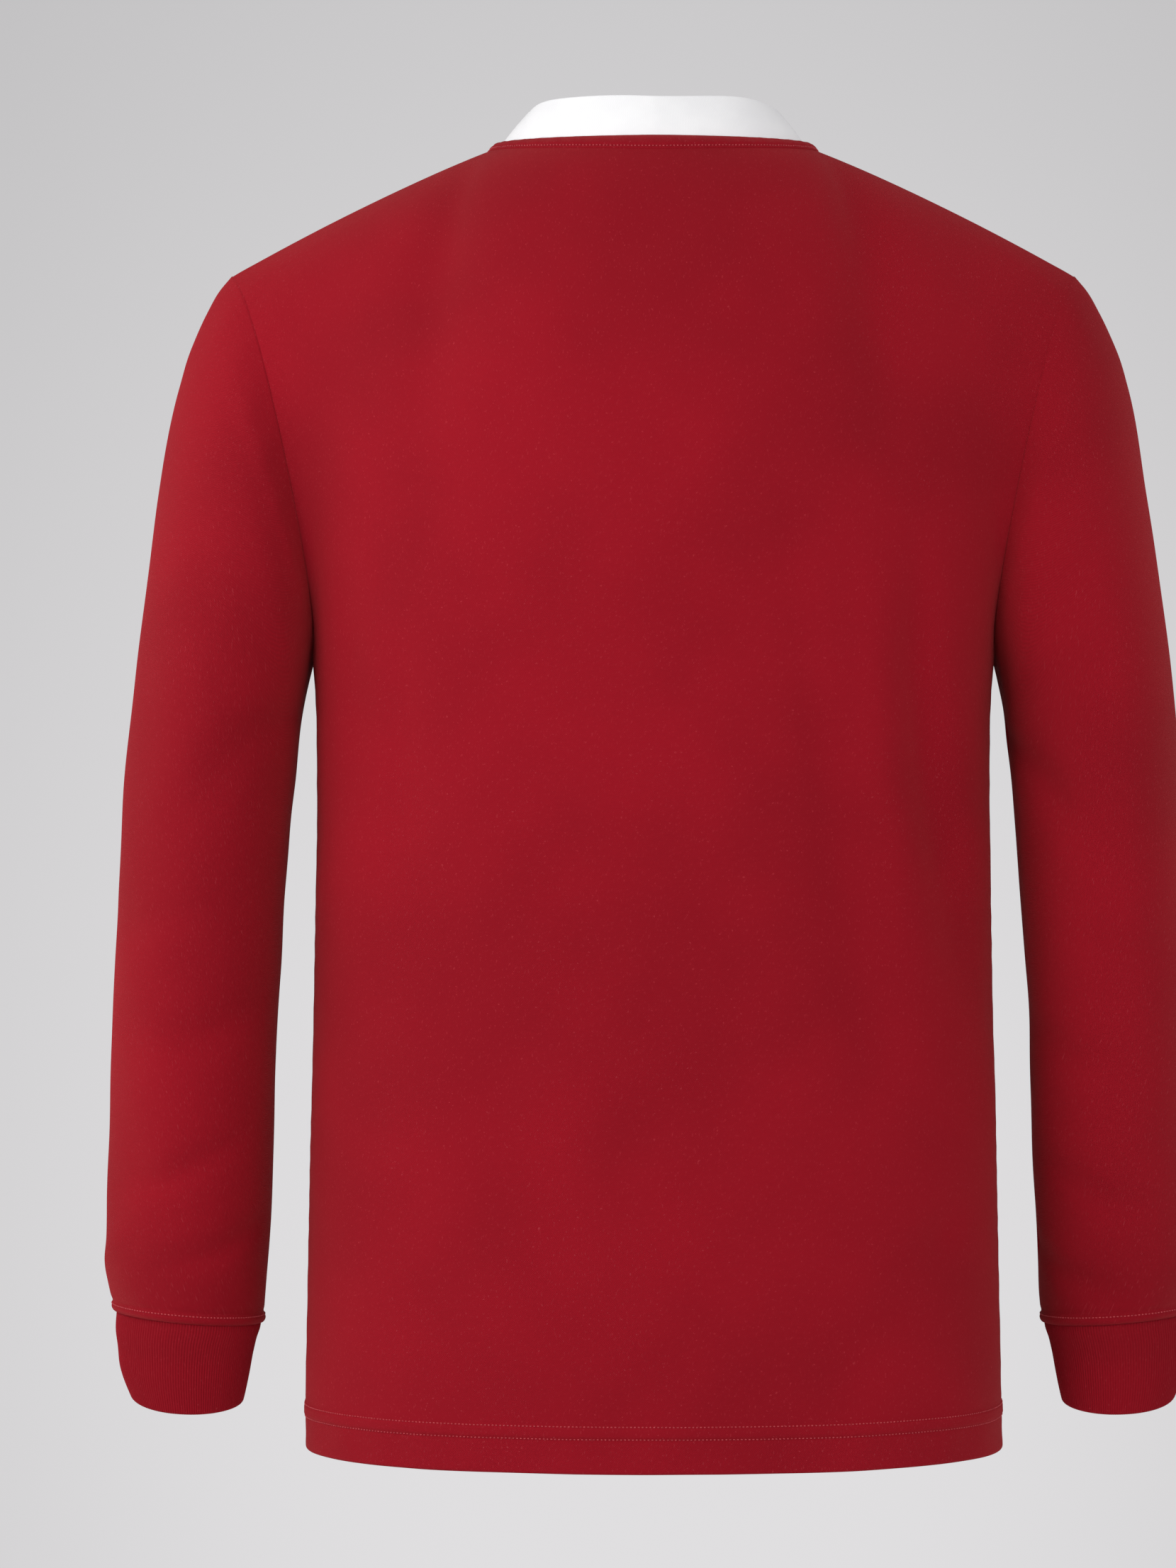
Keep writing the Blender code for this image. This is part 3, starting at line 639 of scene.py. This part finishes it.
class ShirtSizes(bpy.types.PropertyGroup):
    wall: FloatProperty(name="Jersey", description="Thickness of the jersey", default=0.0014, unit="LENGTH")
    rib_wall: FloatProperty(
        name="Rib", description="Thickness of one rib layer", default=0.0010, unit="LENGTH"
    )
    twill_wall: FloatProperty(
        name="Twill", description="Thickness of one collar layer", default=0.0009, unit="LENGTH"
    )
    hem_turn: FloatProperty(
        name="Hem turn", description="Depth of the turned-up hem", default=0.027, unit="LENGTH"
    )
    hem_low: FloatProperty(
        name="Low hem row", description="Height of the lower stitch row", default=0.0190, unit="LENGTH"
    )
    hem_high: FloatProperty(
        name="High hem row", description="Height of the upper stitch row", default=0.0255, unit="LENGTH"
    )
    stitch: FloatProperty(
        name="Stitch", description="Distance between two stitches", default=0.0021, unit="LENGTH"
    )
    rib_pitch: FloatProperty(
        name="Rib pitch", description="Distance between two ribs", default=0.0016, unit="LENGTH"
    )
    panel_columns: IntProperty(
        name="Panel columns", description="Faces across a panel", default=144, min=24
    )
    panel_rows: IntProperty(
        name="Panel rows", description="Faces up a panel above its hem", default=150, min=24
    )
    sleeve_rows: IntProperty(name="Sleeve rows", description="Faces down a sleeve", default=150, min=24)


class ShirtColours(bpy.types.PropertyGroup):
    jersey: FloatVectorProperty(
        name="Jersey", description="Red of the jersey and the cuffs",
        subtype="COLOR", default=(0.300, 0.0042, 0.0130)
    )
    lint: FloatVectorProperty(
        name="Lint", description="Paler specks on the jersey", subtype="COLOR", default=(0.43, 0.048, 0.062)
    )
    thread: FloatVectorProperty(
        name="Thread", description="Red sewing thread", subtype="COLOR", default=(0.62, 0.085, 0.10)
    )
    collar: FloatVectorProperty(
        name="Collar", description="White of the collar and placket",
        subtype="COLOR", default=(0.885, 0.885, 0.89)
    )
    collar_shade: FloatVectorProperty(
        name="Collar shade", description="Slightly greyer white",
        subtype="COLOR", default=(0.85, 0.85, 0.86)
    )
    button: FloatVectorProperty(
        name="Button", description="Rubber of the buttons", subtype="COLOR", default=(0.78, 0.77, 0.74)
    )


class ShirtStage(bpy.types.PropertyGroup):
    distance: FloatProperty(
        name="Camera distance", description="From the shirt's middle", default=2.8, unit="LENGTH"
    )
    height: FloatProperty(
        name="Camera height", description="Level of the camera", default=-0.358, unit="LENGTH"
    )
    side: FloatProperty(
        name="Camera side", description="How far left of the shirt it stands", default=0.0368, unit="LENGTH"
    )
    field: FloatProperty(
        name="Field", description="Height seen at the shirt's middle", default=0.885, unit="LENGTH"
    )
    floor_level: FloatProperty(
        name="Floor level", description="Height of the floor", default=-1.04, unit="LENGTH"
    )
    key_power: FloatProperty(
        name="Key light", description="Power of the large soft light", default=11.0, min=0.0
    )
    fill_power: FloatProperty(
        name="Fill light", description="Power of the light on the other side", default=9.2, min=0.0
    )
    side_power: FloatProperty(
        name="Side light", description="Power of the light beside the left sleeve", default=2.6, min=0.0
    )
    near: FloatProperty(
        name="Backdrop near", description="Brightness low in the middle", default=0.745, min=0.0
    )
    far: FloatProperty(name="Backdrop far", description="Brightness in the corners", default=0.50, min=0.0)


def hem_rows(sizes):
    """The rows of a panel from the raw edge inside the hem, round its fold and up to the top edge.

    Returns the level of each row as v, how far it lies inside the outer face, and how many are inside."""
    fold = sizes.wall + 0.0001
    inside = np.linspace(sizes.hem_turn, fold * 1.3, 9)
    turn = np.radians(np.linspace(180, 0, 9))
    outside = np.linspace(fold * 1.3, 0.0300, 34)
    height = np.concatenate([inside, fold - fold * np.sin(turn), outside])
    offset = np.concatenate([0 * inside + 2 * fold, fold * (1 - np.cos(turn)), 0 * outside])
    level = height / (UNDERARM_Z - HEM_Z)
    share = np.arange(1, sizes.panel_rows + 1) / sizes.panel_rows
    rest = level[-1] + (2 - level[-1]) * (share + 0.7 * np.sin(np.pi * share) * share / np.pi)
    return np.concatenate([level, rest]), np.concatenate([offset, 0 * rest]), len(inside) + len(turn)


def panel_points(side, sizes):
    """The back or front as a grid of points, with its normals and the number of rows inside the hem."""
    u = 2 * eased(sizes.panel_columns, 0.78) - 1
    v, offset, turned = hem_rows(sizes)
    base = relaxed(torso(side, u[None, :], v[:, None]), v)
    flat_rows = np.clip(v, 0.02, 2)[:, None]
    smooth = torso(side, u[None, :], flat_rows)
    at_top = flat_rows > 1.99
    step = torso(side, u[None, :], flat_rows + np.where(at_top, -0.002, 0.002)) - smooth
    along = np.where(at_top[..., None], -step, step)
    plain_normals = unit(np.cross(np.gradient(smooth, axis=1), along)) * -side
    relaxed_normals = unit(np.cross(np.gradient(base, axis=1), np.gradient(base, axis=0))) * -side
    normals = np.where((v > 1.02)[:, None, None], relaxed_normals, plain_normals)
    x, z = base[..., 0], base[..., 2]
    edge = lengths(base, 1)
    edge = np.minimum(edge, edge[:, -1:] - edge)
    levels = np.linspace(0, 2, 200)
    climb = lengths(torso(side, u[None, :], levels[:, None]), 0)
    up = np.stack([np.interp(v, levels, climb[:, column]) for column in range(len(u))], 1)
    below_top = climb[-1][None, :] - up
    shoulder = smooth_step((np.abs(u) - NECK_SHARE) / 0.05)[None, :]
    creases = BACK_CREASES if side > 0 else FRONT_CREASES
    calm = smooth_step(below_top / 0.05) * smooth_step(edge / 0.03)
    relief = (crease_relief(creases, x, z) + drift(x, z, 0.0012, 0.0 if side > 0 else 2.0)) * calm
    relief += 0.00012 * np.sin(2 * np.pi * up / 0.017 + 3 * np.sin(up * 40)) * bump(edge - 0.007, 0.006)
    relief -= 0.0001 * bump(edge, 0.0014)
    relief -= (0.0003 * bump(below_top, 0.0014) - 0.0002 * bump(below_top - 0.0040, 0.0025)) * shoulder
    height = z - HEM_Z
    tunnel = smooth_step((height - sizes.hem_low + 0.0008) / 0.0022)
    tunnel *= smooth_step((sizes.hem_high + 0.0014 - height) / 0.0022)
    relief += 0.0009 * tunnel * (v < 0.5)[:, None]
    for stitched in (sizes.hem_low, sizes.hem_high):
        relief -= 0.0003 * bump(height - stitched, 0.0008)
    relief += 0.00035 * np.sin(2 * np.pi * x / 0.023 + 2 * np.sin(x * 31)) * bump(height - 0.012, 0.010)
    relief += 0.0010 * np.sin(2 * np.pi * x / 0.115 + side) * bump(height, 0.030)
    points = base + normals * (relief - offset[:, None])[..., None]
    return points, normals, turned, height


class SHIRT_OT_body(bpy.types.Operator):
    """Sew the back and the front, with their turned-up hem and its two rows of stitches"""

    bl_idname = "shirt.body"
    bl_label = "Back and front"

    def execute(self, context):
        sizes = context.scene.shirt_sizes
        cloth = finishes()
        stitched = []
        for side, name, node_name in ((1, "back_panel", "back"), (-1, "front_panel", "front")):
            points, normals, turned, height = panel_points(side, sizes)
            points[..., 1] += side * GAP / 2 * (np.abs(points[..., 1]) < 0.02)
            slit = int(np.searchsorted(hem_rows(sizes)[0], SLIT_END)) if side < 0 else None
            panel = make_cloth(name, points, cloth["red_jersey_knit"], sizes.wall, slit=slit, flip=side > 0)
            finished(panel, "red_jersey", node_name)
            for level in (sizes.hem_low, sizes.hem_high):
                row = turned + int(np.argmin(np.abs(height[turned:, 0] - level)))
                stitched.append(Row(points[row], normals[row]))
        sewing = HEM_SEWING._replace(pitch=sizes.stitch)
        thread = make_stitches("hem_stitches", stitched, sewing, cloth["red_thread"])
        finished(thread, "red_jersey")
        return {"FINISHED"}


def sleeve_grid(sizes):
    """The left sleeve as plain rings from the armhole to the cuff seam, and how far down each lies."""
    loop = armhole(81)
    angle = sleeve_angles(loop)
    downs = SLEEVE[-1].down * eased(sizes.sleeve_rows, 0.80)
    start = np.zeros(len(loop))
    error = loop - arm_ring(SLEEVE, start, angle)
    rings = []
    for down in downs:
        kept = 1 - smooth_step(down / ARMHOLE_BLEND)
        rings.append(arm_ring(SLEEVE, start + down, angle) + error * kept)
    return np.array(rings), downs


def sleeve_points(sizes, turn):
    """The left sleeve with its seam allowance, creases and curled end, and its row of stitches.

    A turn shifts its creases and waves, so that the two sleeves differ."""
    base, downs = sleeve_grid(sizes)
    normals = grid_normals(base, closed=True)
    around = lengths(base, 1)
    around = around / around[:, -1:] * SLEEVE_ROUND
    run = np.broadcast_to(downs[:, None], around.shape)
    left = downs[-1] - run
    calm = smooth_step(run / 0.03) * smooth_step(left / 0.012)
    relief = crease_relief(ARM_CREASES, around + turn * 0.012, run - turn * 0.010) * calm
    swirl = np.sin(2 * np.pi * around / SLEEVE_ROUND + 1 + turn) * 0.06
    relief += drift(swirl, run, 0.0009, turn) * calm
    relief += 0.0002 * bump(run - 0.0040, 0.0030)
    relief += 0.00018 * np.sin(2 * np.pi * around / 0.0145) * bump(run - 0.007, 0.006)
    relief += 0.0011 * bump(left - 0.0012, 0.0022) - 0.0004 * bump(left - 0.0052, 0.0016)
    relief += 0.0003 * np.sin(2 * np.pi * around / 0.045 + 2 * turn) * bump(left - 0.016, 0.010)
    points = base + normals * relief[..., None]
    way = unit(points[-1] - points[-3])
    curl = []
    for a in np.radians((18, 36, 54, 72, 90, 108)):
        inward = normals[-1] * (1 - np.cos(a))
        curl.append(points[-1] + (way * np.sin(a) - inward) * SLEEVE_CURL)
    tuck = unit(points[4] - points[0])
    allowance = [points[0] - normals[3] * depth - tuck * back for back, depth in SLEEVE_ALLOWANCE]
    sewn = int(np.argmin(np.abs(downs[-1] - downs - SLEEVE_HEM)))
    return np.array(allowance + list(points) + curl), Row(points[sewn], normals[sewn])


class SHIRT_OT_sleeves(bpy.types.Operator):
    """Sew both long sleeves, which curl in over the cuffs with a row of stitches"""

    bl_idname = "shirt.sleeves"
    bl_label = "Sleeves"

    def execute(self, context):
        sizes = context.scene.shirt_sizes
        cloth = finishes()
        for side, word, turn in ((1, "left", 0.0), (-1, "right", 1.3)):
            points, stitched = sleeve_points(sizes, turn)
            mirror = np.array([side, 1, 1])
            name = f"sleeve_{word}"
            knit = cloth["red_jersey_knit"]
            sleeve = make_cloth(f"{name}_cloth", points * mirror, knit, sizes.wall, True, flip=side < 0)
            finished(sleeve, "red_jersey", name)
            row = Row(stitched.points * mirror, stitched.normals * mirror)
            thread = make_stitches(f"{name}_stitches", [row], SLEEVE_SEWING, cloth["red_thread"])
            finished(thread, "red_jersey")
        return {"FINISHED"}


class SHIRT_OT_cuffs(bpy.types.Operator):
    """Knit both ribbed cuffs, folded double at the wrist"""

    bl_idname = "shirt.cuffs"
    bl_label = "Cuffs"

    def execute(self, context):
        sizes = context.scene.shirt_sizes
        cloth = finishes()
        ribs = int(CUFF_ROUND / sizes.rib_pitch)
        share = np.arange(ribs * 5 + 1) / (ribs * 5)
        angle = 2 * np.pi * share
        reach = CUFF[-1].down
        fold = sizes.rib_wall + SLACK
        outside = np.linspace(0, reach - fold, 30)
        turn = np.radians(np.linspace(20, 180, 8))
        inside = np.linspace(reach - fold, reach - CUFF_TURN, 8)[1:]
        run = np.concatenate([outside, reach - fold + fold * np.sin(turn), inside])
        depth = np.concatenate([0 * outside, fold * (1 - np.cos(turn)), 2 * fold + 0 * inside])
        rows = []
        for down in run:
            ring = arm_ring(CUFF, np.full(len(angle), down), angle)
            ring[:, 2] -= CUFF_BACK_DROP * np.sin(angle) * down / reach
            bowed = np.clip((down - 0.034) / 0.020, 0, 1) ** 2
            ring[:, 0] -= 0.0022 * bowed * smooth_step((-np.cos(angle) - 0.1) / 0.9)
            ring[:, 0] += 0.0012 * bowed * smooth_step((np.cos(angle) - 0.1) / 0.9)
            rows.append(ring)
        base = np.array(rows)
        normals = unit(np.stack([-np.cos(angle) * 0.036, np.sin(angle) * 0.040, 0 * angle], -1))
        rib = np.abs(np.sin(np.pi * ribs * share)) ** 0.8
        middle = bump(run - 0.028, 0.006)[:, None]
        relief = 0.00052 * rib - 0.0007 * middle * (0.5 + 0.5 * np.sin(angle - 0.5))
        relief = relief + 0.0006 * np.sin(3 * angle + 0.8) * smooth_step((run - 0.01) / 0.02)[:, None]
        points = base + normals * (relief - depth[:, None])[..., None]
        for side, word in ((1, "left"), (-1, "right")):
            placed = points * np.array([side, 1, 1])
            knit = cloth["red_rib_knit"]
            cuff = make_cloth(f"cuff_{word}_rib", placed, knit, sizes.rib_wall, True, flip=side < 0)
            finished(cuff, "red_rib", f"cuff_{word}")
        return {"FINISHED"}


def neck_line(reach, count):
    """Stations round the neckline: how far round each is, its edge, the way down from it and its normal."""
    signed = np.linspace(-reach, reach, count)
    around = np.abs(signed)
    sign = np.where(signed < 0, -1.0, 1.0)
    at_back = around < 0.5
    u = NECK_SHARE * np.where(at_back, around, 1 - around) / 0.5 * sign
    found = []
    for side in (1, -1):
        edge = torso(side, u, 2.0)
        below = torso(side, u, 1.97) - edge
        ahead = torso(side, u + 0.004, 2.0) - torso(side, u - 0.004, 2.0)
        found.append((edge, unit(below), unit(np.cross(ahead, below)) * side))
    pick = at_back[:, None]
    edge, below, normal = (np.where(pick, back, front) for back, front in zip(*found))
    kernel = np.hanning(2 * (count // 30) + 3)
    kernel /= kernel.sum()
    pad = len(kernel) // 2
    for values in (below, normal):
        wide = np.pad(values, ((pad, pad), (0, 0)), mode="edge")
        values[:] = np.stack([np.convolve(wide[:, axis], kernel, "valid") for axis in range(3)], -1)
    return around, edge, unit(below), unit(normal)


def stand_ways(around, edge):
    """The way the collar rises at each station, leaning in, and its outward normal."""
    tangent = np.gradient(edge, axis=0)
    tangent[[0, -1]] = (1.0, 0.0, 0.0)
    tangent = unit(tangent)
    up = unit(np.array([0.0, 0.0, 1.0]) - tangent[:, 2:] * tangent)
    inward = unit(np.cross(up, tangent))
    off_middle = (edge - NECK_MIDDLE) * np.array([1.0, 1.0, 0.0])
    inward = np.where((inward * off_middle).sum(-1, keepdims=True) > 0, -inward, inward)
    lean = np.radians(cubic(STAND, "lean", around))[:, None]
    stand = inward * np.sin(lean) + up * np.cos(lean)
    away = up * np.sin(lean) - inward * np.cos(lean)
    return stand, away


class SHIRT_OT_collar(bpy.types.Operator):
    """Sew the white collar band, folded along its top, and the rolled strip over its foot"""

    bl_idname = "shirt.collar"
    bl_label = "Collar and neck roll"

    def execute(self, context):
        sizes = context.scene.shirt_sizes
        cloth = finishes()
        around, edge, below, normal = neck_line(COLLAR_REACH, 301)
        stand, away = stand_ways(around, edge)
        foot = edge - normal * (sizes.wall + GAP)
        height = cubic(STAND, "height", around)
        height = height - 0.007 * smooth_step((around - 0.965) / 0.032) ** 2
        fold = sizes.twill_wall + SLACK
        climb = stand * (height - fold)[:, None]
        rows = [foot + below * drop for drop in (0.0040, 0.0026, 0.0013)]
        for share in np.linspace(0, 1, 22):
            rows.append(foot + climb * share + away * 0.0006 * np.sin(np.pi * share))
        for a in np.radians(np.linspace(15, 180, 10)):
            rows.append(foot + climb + stand * fold * np.sin(a) - away * fold * (1 - np.cos(a)))
        inside = foot - away * 2 * fold
        rows += [inside + climb * share for share in np.linspace(0.94, 0, 14)]
        points = np.array(rows + [inside + below * 0.0030])
        wave = 0.0007 * np.sin(around * 9 + 1) + 0.0004 * np.sin(np.linspace(-1, 1, len(around)) * 23)
        rise = np.clip(((points - foot) * stand).sum(-1) / 0.03, 0, 1)
        points = points + away * (rise * wave)[..., None]
        band = make_cloth("collar_band", points, cloth["white_collar_twill"], sizes.twill_wall, flip=True)
        finished(band, "white_twill", "collar")
        self.roll(sizes, cloth)
        return {"FINISHED"}

    def roll(self, sizes, cloth):
        """The panels' own cloth rolled over the collar's foot, with a bump at each side neck."""
        around, edge, below, normal = neck_line(ROLL_REACH, 281)
        stand, away = stand_ways(around, edge)
        low = edge + below * 0.0064 + normal * 0.0002
        high = edge - normal * (sizes.wall + GAP) + stand * 0.0054 + away * 0.0002
        outward = unit(normal + away)
        side_neck = bump(around - 0.5, 0.028)
        swell = 0.0017 + 0.0003 * side_neck
        along = np.linspace(-1, 1, len(around)) * 120
        swell = swell + 0.00018 * np.sin(along) + 0.00012 * np.sin(along * 2.7 + 1)
        rows = [low - outward * 0.0008]
        for share in np.linspace(0, 1, 15):
            rise = np.sin(np.pi * share) ** 0.75 if 0 < share < 1 else 0.0
            ridge = swell * rise - 0.0006 * bump(share - 0.16, 0.07)
            rows.append(low + (high - low) * share + outward * ridge[:, None])
        rows.append(high - away * 0.0008)
        points = np.array(rows)
        roll = make_cloth("neck_roll", points, cloth["red_jersey_knit"], ROLL_WALL, flip=True)
        finished(roll, "red_jersey", "neck_binding")
        thread = make_stitches("neck_stitches", [Row(points[3], outward)], NECK_SEWING, cloth["red_thread"])
        finished(thread, "red_jersey")


def placket_grid(low, count, offset):
    """A strip down the centre front on the front panel, moved off it along its normals."""
    across = PLACKET_HALF * (2 * eased(PLACKET_COLUMNS, 0.7) - 1)
    rows = []
    for level in np.linspace(low, 2.0, count):
        line = torso(-1, np.linspace(0, 0.4, 60), level)
        rest = [np.interp(np.abs(across), line[:, 0], line[:, axis]) for axis in (1, 2)]
        rows.append(np.stack([across, *rest], -1))
    base = np.array(rows)
    normals = grid_normals(base)
    normals = np.where(normals[..., 1:2] > 0, -normals, normals)
    return base + normals * offset, normals, across


class SHIRT_OT_placket(bpy.types.Operator):
    """Sew the front opening: upper and under strip, edge stitching, buttonholes and rubber buttons"""

    bl_idname = "shirt.placket"
    bl_label = "Front opening"

    def execute(self, context):
        cloth = finishes()
        middle = PLACKET_COLUMNS // 2
        points, normals, across = placket_grid(PLACKET_END, 70, GAP + PLACKET_WALL + SLACK)
        edge = PLACKET_HALF - np.abs(across)
        run = lengths(points, 0)[:, middle][:, None]
        relief = 0.0
        for inward in (edge, run):
            relief = relief - 0.0007 * bump(inward, 0.0012) - 0.0003 * bump(inward - PLACKET_INSET, 0.0007)
        points = points + normals * relief[..., None]
        strip = make_cloth("placket_front", points, cloth["white_collar_twill"], PLACKET_WALL)
        finished(strip, "white_twill", "placket_upper")
        under = placket_grid(SLIT_END - 0.04, 40, -(context.scene.shirt_sizes.wall + GAP + SLACK))[0]
        facing = make_cloth("placket_back", under[:34], cloth["white_collar_twill"], PLACKET_WALL)
        finished(facing, "white_twill", "placket_under")
        inset = int(np.argmin(np.abs(edge[:middle] - PLACKET_INSET)))
        last = PLACKET_COLUMNS - inset
        up = int(np.argmin(np.abs(run[:, 0] - PLACKET_INSET)))
        rows = [Row(points[up:-2, column], normals[up:-2, column]) for column in (inset, last)]
        rows.append(Row(points[up, inset : last + 1], normals[up, inset : last + 1]))
        centre, normal = points[::-1, middle], normals[::-1, middle]
        reach = lengths(centre, 0)
        half_length, half_width = BUTTONHOLE
        threads = []
        for order, drop in enumerate(BUTTON_DROPS):
            place = at_reach(drop, reach, centre)
            facing_way = unit(at_reach(drop, reach, normal))
            down = unit(at_reach(drop + 0.002, reach, centre) - place)
            turn = np.radians(np.linspace(0, 360, 49))[:, None]
            ring = np.cos(turn) * down * half_length + np.sin(turn) * np.array([1, 0, 0]) * half_width
            threads.append(Row(place + ring, np.tile(facing_way, (49, 1))))
            self.button(f"button_{order + 1}", place, facing_way, down, cloth)
        for name, lines, sewing in (
            ("placket_stitches", rows, PLACKET_SEWING),
            ("buttonhole_stitches", threads, BUTTONHOLE_SEWING),
        ):
            finished(make_stitches(name, lines, sewing, cloth["white_thread"]), "white_twill")
        return {"FINISHED"}

    def button(self, name, place, facing_way, down, cloth):
        """A round rubber button with a raised rim and a cross of thread through its middle."""
        shape = bmesh.new()
        line = [shape.verts.new((radius, 0.0, height)) for radius, height in BUTTON_PROFILE]
        edges = [shape.edges.new(pair) for pair in zip(line[:-1], line[1:])]
        whole = {"axis": (0, 0, 1), "cent": (0, 0, 0), "angle": 2 * np.pi, "use_merge": True}
        bmesh.ops.spin(shape, geom=line + edges, steps=36, **whole)
        bmesh.ops.remove_doubles(shape, verts=shape.verts[:], dist=1e-6)
        bmesh.ops.recalc_face_normals(shape, faces=shape.faces[:])
        for x, y in ((1, 1), (1, -1), (-1, 1), (-1, -1)):
            eye = Matrix.Translation((x * 0.0012, y * 0.0012, 0.0018))
            size = {"radius1": 0.0008, "radius2": 0.0007, "depth": 0.0005}
            bmesh.ops.create_cone(shape, cap_ends=True, segments=12, matrix=eye, **size)
        for face in shape.faces:
            face.smooth = True
        for slant in (45, -45):
            turn = Matrix.Rotation(np.radians(slant), 4, "Z")
            lie = Matrix.Translation((0, 0, 0.0022)) @ turn @ Matrix.Diagonal((0.0019, 0.0004, 0.0004, 1.0))
            found = bmesh.ops.create_uvsphere(shape, u_segments=10, v_segments=6, radius=1.0, matrix=lie)
            for vertex in found["verts"]:
                for face in vertex.link_faces:
                    face.material_index = 1
                    face.smooth = True
        side = np.cross(down, facing_way)
        turn = Matrix((side, np.cross(facing_way, side), facing_way)).transposed().to_4x4()
        turn.translation = Vector(place + facing_way * 0.0005)
        bmesh.ops.transform(shape, matrix=turn, verts=shape.verts[:])
        thing = made_of(shape, f"{name}_rubber", cloth["pale_rubber"], cloth["white_thread"])
        thing.data.set_sharp_from_angle(angle=np.radians(40))
        finished(thing, "button_rubber", name)


class SHIRT_OT_stage(bpy.types.Operator):
    """Set the camera, the soft lights, the floor and the pale surroundings"""

    bl_idname = "shirt.stage"
    bl_label = "Stage"

    def execute(self, context):
        stage = context.scene.shirt_stage
        self.floor(stage)
        self.surroundings(context, stage)
        middle = Vector((0.0, 0.0, stage.height))
        self.lamp("key_light", (1.05, 0.95, -0.06), middle, 0.9, stage.key_power)
        self.lamp("fill_light", (-0.80, 1.42, 0.05), middle, 1.0, stage.fill_power)
        self.lamp("side_light", (1.02, 0.12, -0.02), middle, 0.5, stage.side_power)
        lens = bpy.data.cameras.new("camera")
        lens.sensor_width = 36.0
        lens.lens = lens.sensor_width * stage.distance / stage.field
        camera = linked("camera", lens)
        camera.location = (stage.side, stage.distance, stage.height)
        camera.rotation_euler = (np.pi / 2, 0.0, np.pi)
        context.scene.camera = camera
        context.scene.view_settings.view_transform = "Standard"
        return {"FINISHED"}

    def floor(self, stage):
        shape = bmesh.new()
        bmesh.ops.create_circle(shape, cap_ends=True, segments=96, radius=0.95)
        bmesh.ops.translate(shape, vec=(0.0, 0.0, stage.floor_level), verts=shape.verts[:])
        pale = plain_finish("pale_floor", (0.78, 0.78, 0.79, 1.0), (0.74, 0.74, 0.75, 1.0), 0.9, 3.0)
        made_of(shape, "floor", pale)

    def surroundings(self, context, stage):
        """A pale studio all round, brightest low behind the shirt and darker towards the corners."""
        world = bpy.data.worlds.new("studio")
        world.use_nodes = True
        tree = world.node_tree
        way = scaled(tree, node(tree, "ShaderNodeTexCoord").outputs["Generated"], (1.25, 1.0, 0.8))
        ends = {0: way, 1: (-0.013, -0.99, -0.096)}
        away = node(tree, "ShaderNodeVectorMath", ends, operation="DISTANCE")
        share = ramped(tree, away.outputs["Value"], 0.04, 0.36, stage.near, stage.far)
        channels = {"Red": share, "Green": product(tree, share, 0.985), "Blue": share}
        tint = node(tree, "ShaderNodeCombineColor", channels)
        tree.links.new(tint.outputs["Color"], tree.nodes["Background"].inputs["Color"])
        context.scene.world = world

    def lamp(self, name, place, target, size, power):
        light = bpy.data.lights.new(name, "AREA")
        light.shape = "SQUARE"
        light.size = size
        light.energy = power
        lamp = linked(name, light)
        lamp.location = place
        lamp.rotation_euler = (target - Vector(place)).to_track_quat("-Z", "Y").to_euler()
        lamp.visible_camera = False


class SHIRT_PT_panel(bpy.types.Panel):
    """Lists the shirt's pieces, sizes and colours"""

    bl_idname = "SHIRT_PT_panel"
    bl_label = "Shirt"
    bl_space_type = "VIEW_3D"
    bl_region_type = "UI"
    bl_category = "Shirt"

    def draw(self, context):
        for operator in OPERATORS:
            self.layout.operator(operator.bl_idname)
        for group in (context.scene.shirt_sizes, context.scene.shirt_colours, context.scene.shirt_stage):
            box = self.layout.box()
            for name in group.bl_rna.properties.keys():
                if name not in ("rna_type", "name"):
                    box.prop(group, name)


OPERATORS = (
    SHIRT_OT_body, SHIRT_OT_sleeves, SHIRT_OT_cuffs, SHIRT_OT_collar, SHIRT_OT_placket, SHIRT_OT_stage,
)
GROUPS = {"shirt_sizes": ShirtSizes, "shirt_colours": ShirtColours, "shirt_stage": ShirtStage}


def register():
    for thing in (*GROUPS.values(), *OPERATORS, SHIRT_PT_panel):
        bpy.utils.register_class(thing)
    for name, group in GROUPS.items():
        setattr(bpy.types.Scene, name, PointerProperty(type=group))


def unregister():
    for name in GROUPS:
        delattr(bpy.types.Scene, name)
    for thing in reversed((*GROUPS.values(), *OPERATORS, SHIRT_PT_panel)):
        bpy.utils.unregister_class(thing)


def main():
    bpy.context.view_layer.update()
    register()
    bpy.ops.shirt.body()
    bpy.ops.shirt.sleeves()
    bpy.ops.shirt.cuffs()
    bpy.ops.shirt.collar()
    bpy.ops.shirt.placket()
    bpy.ops.shirt.stage()
    bpy.context.view_layer.update()


if __name__ == "__main__":
    main()
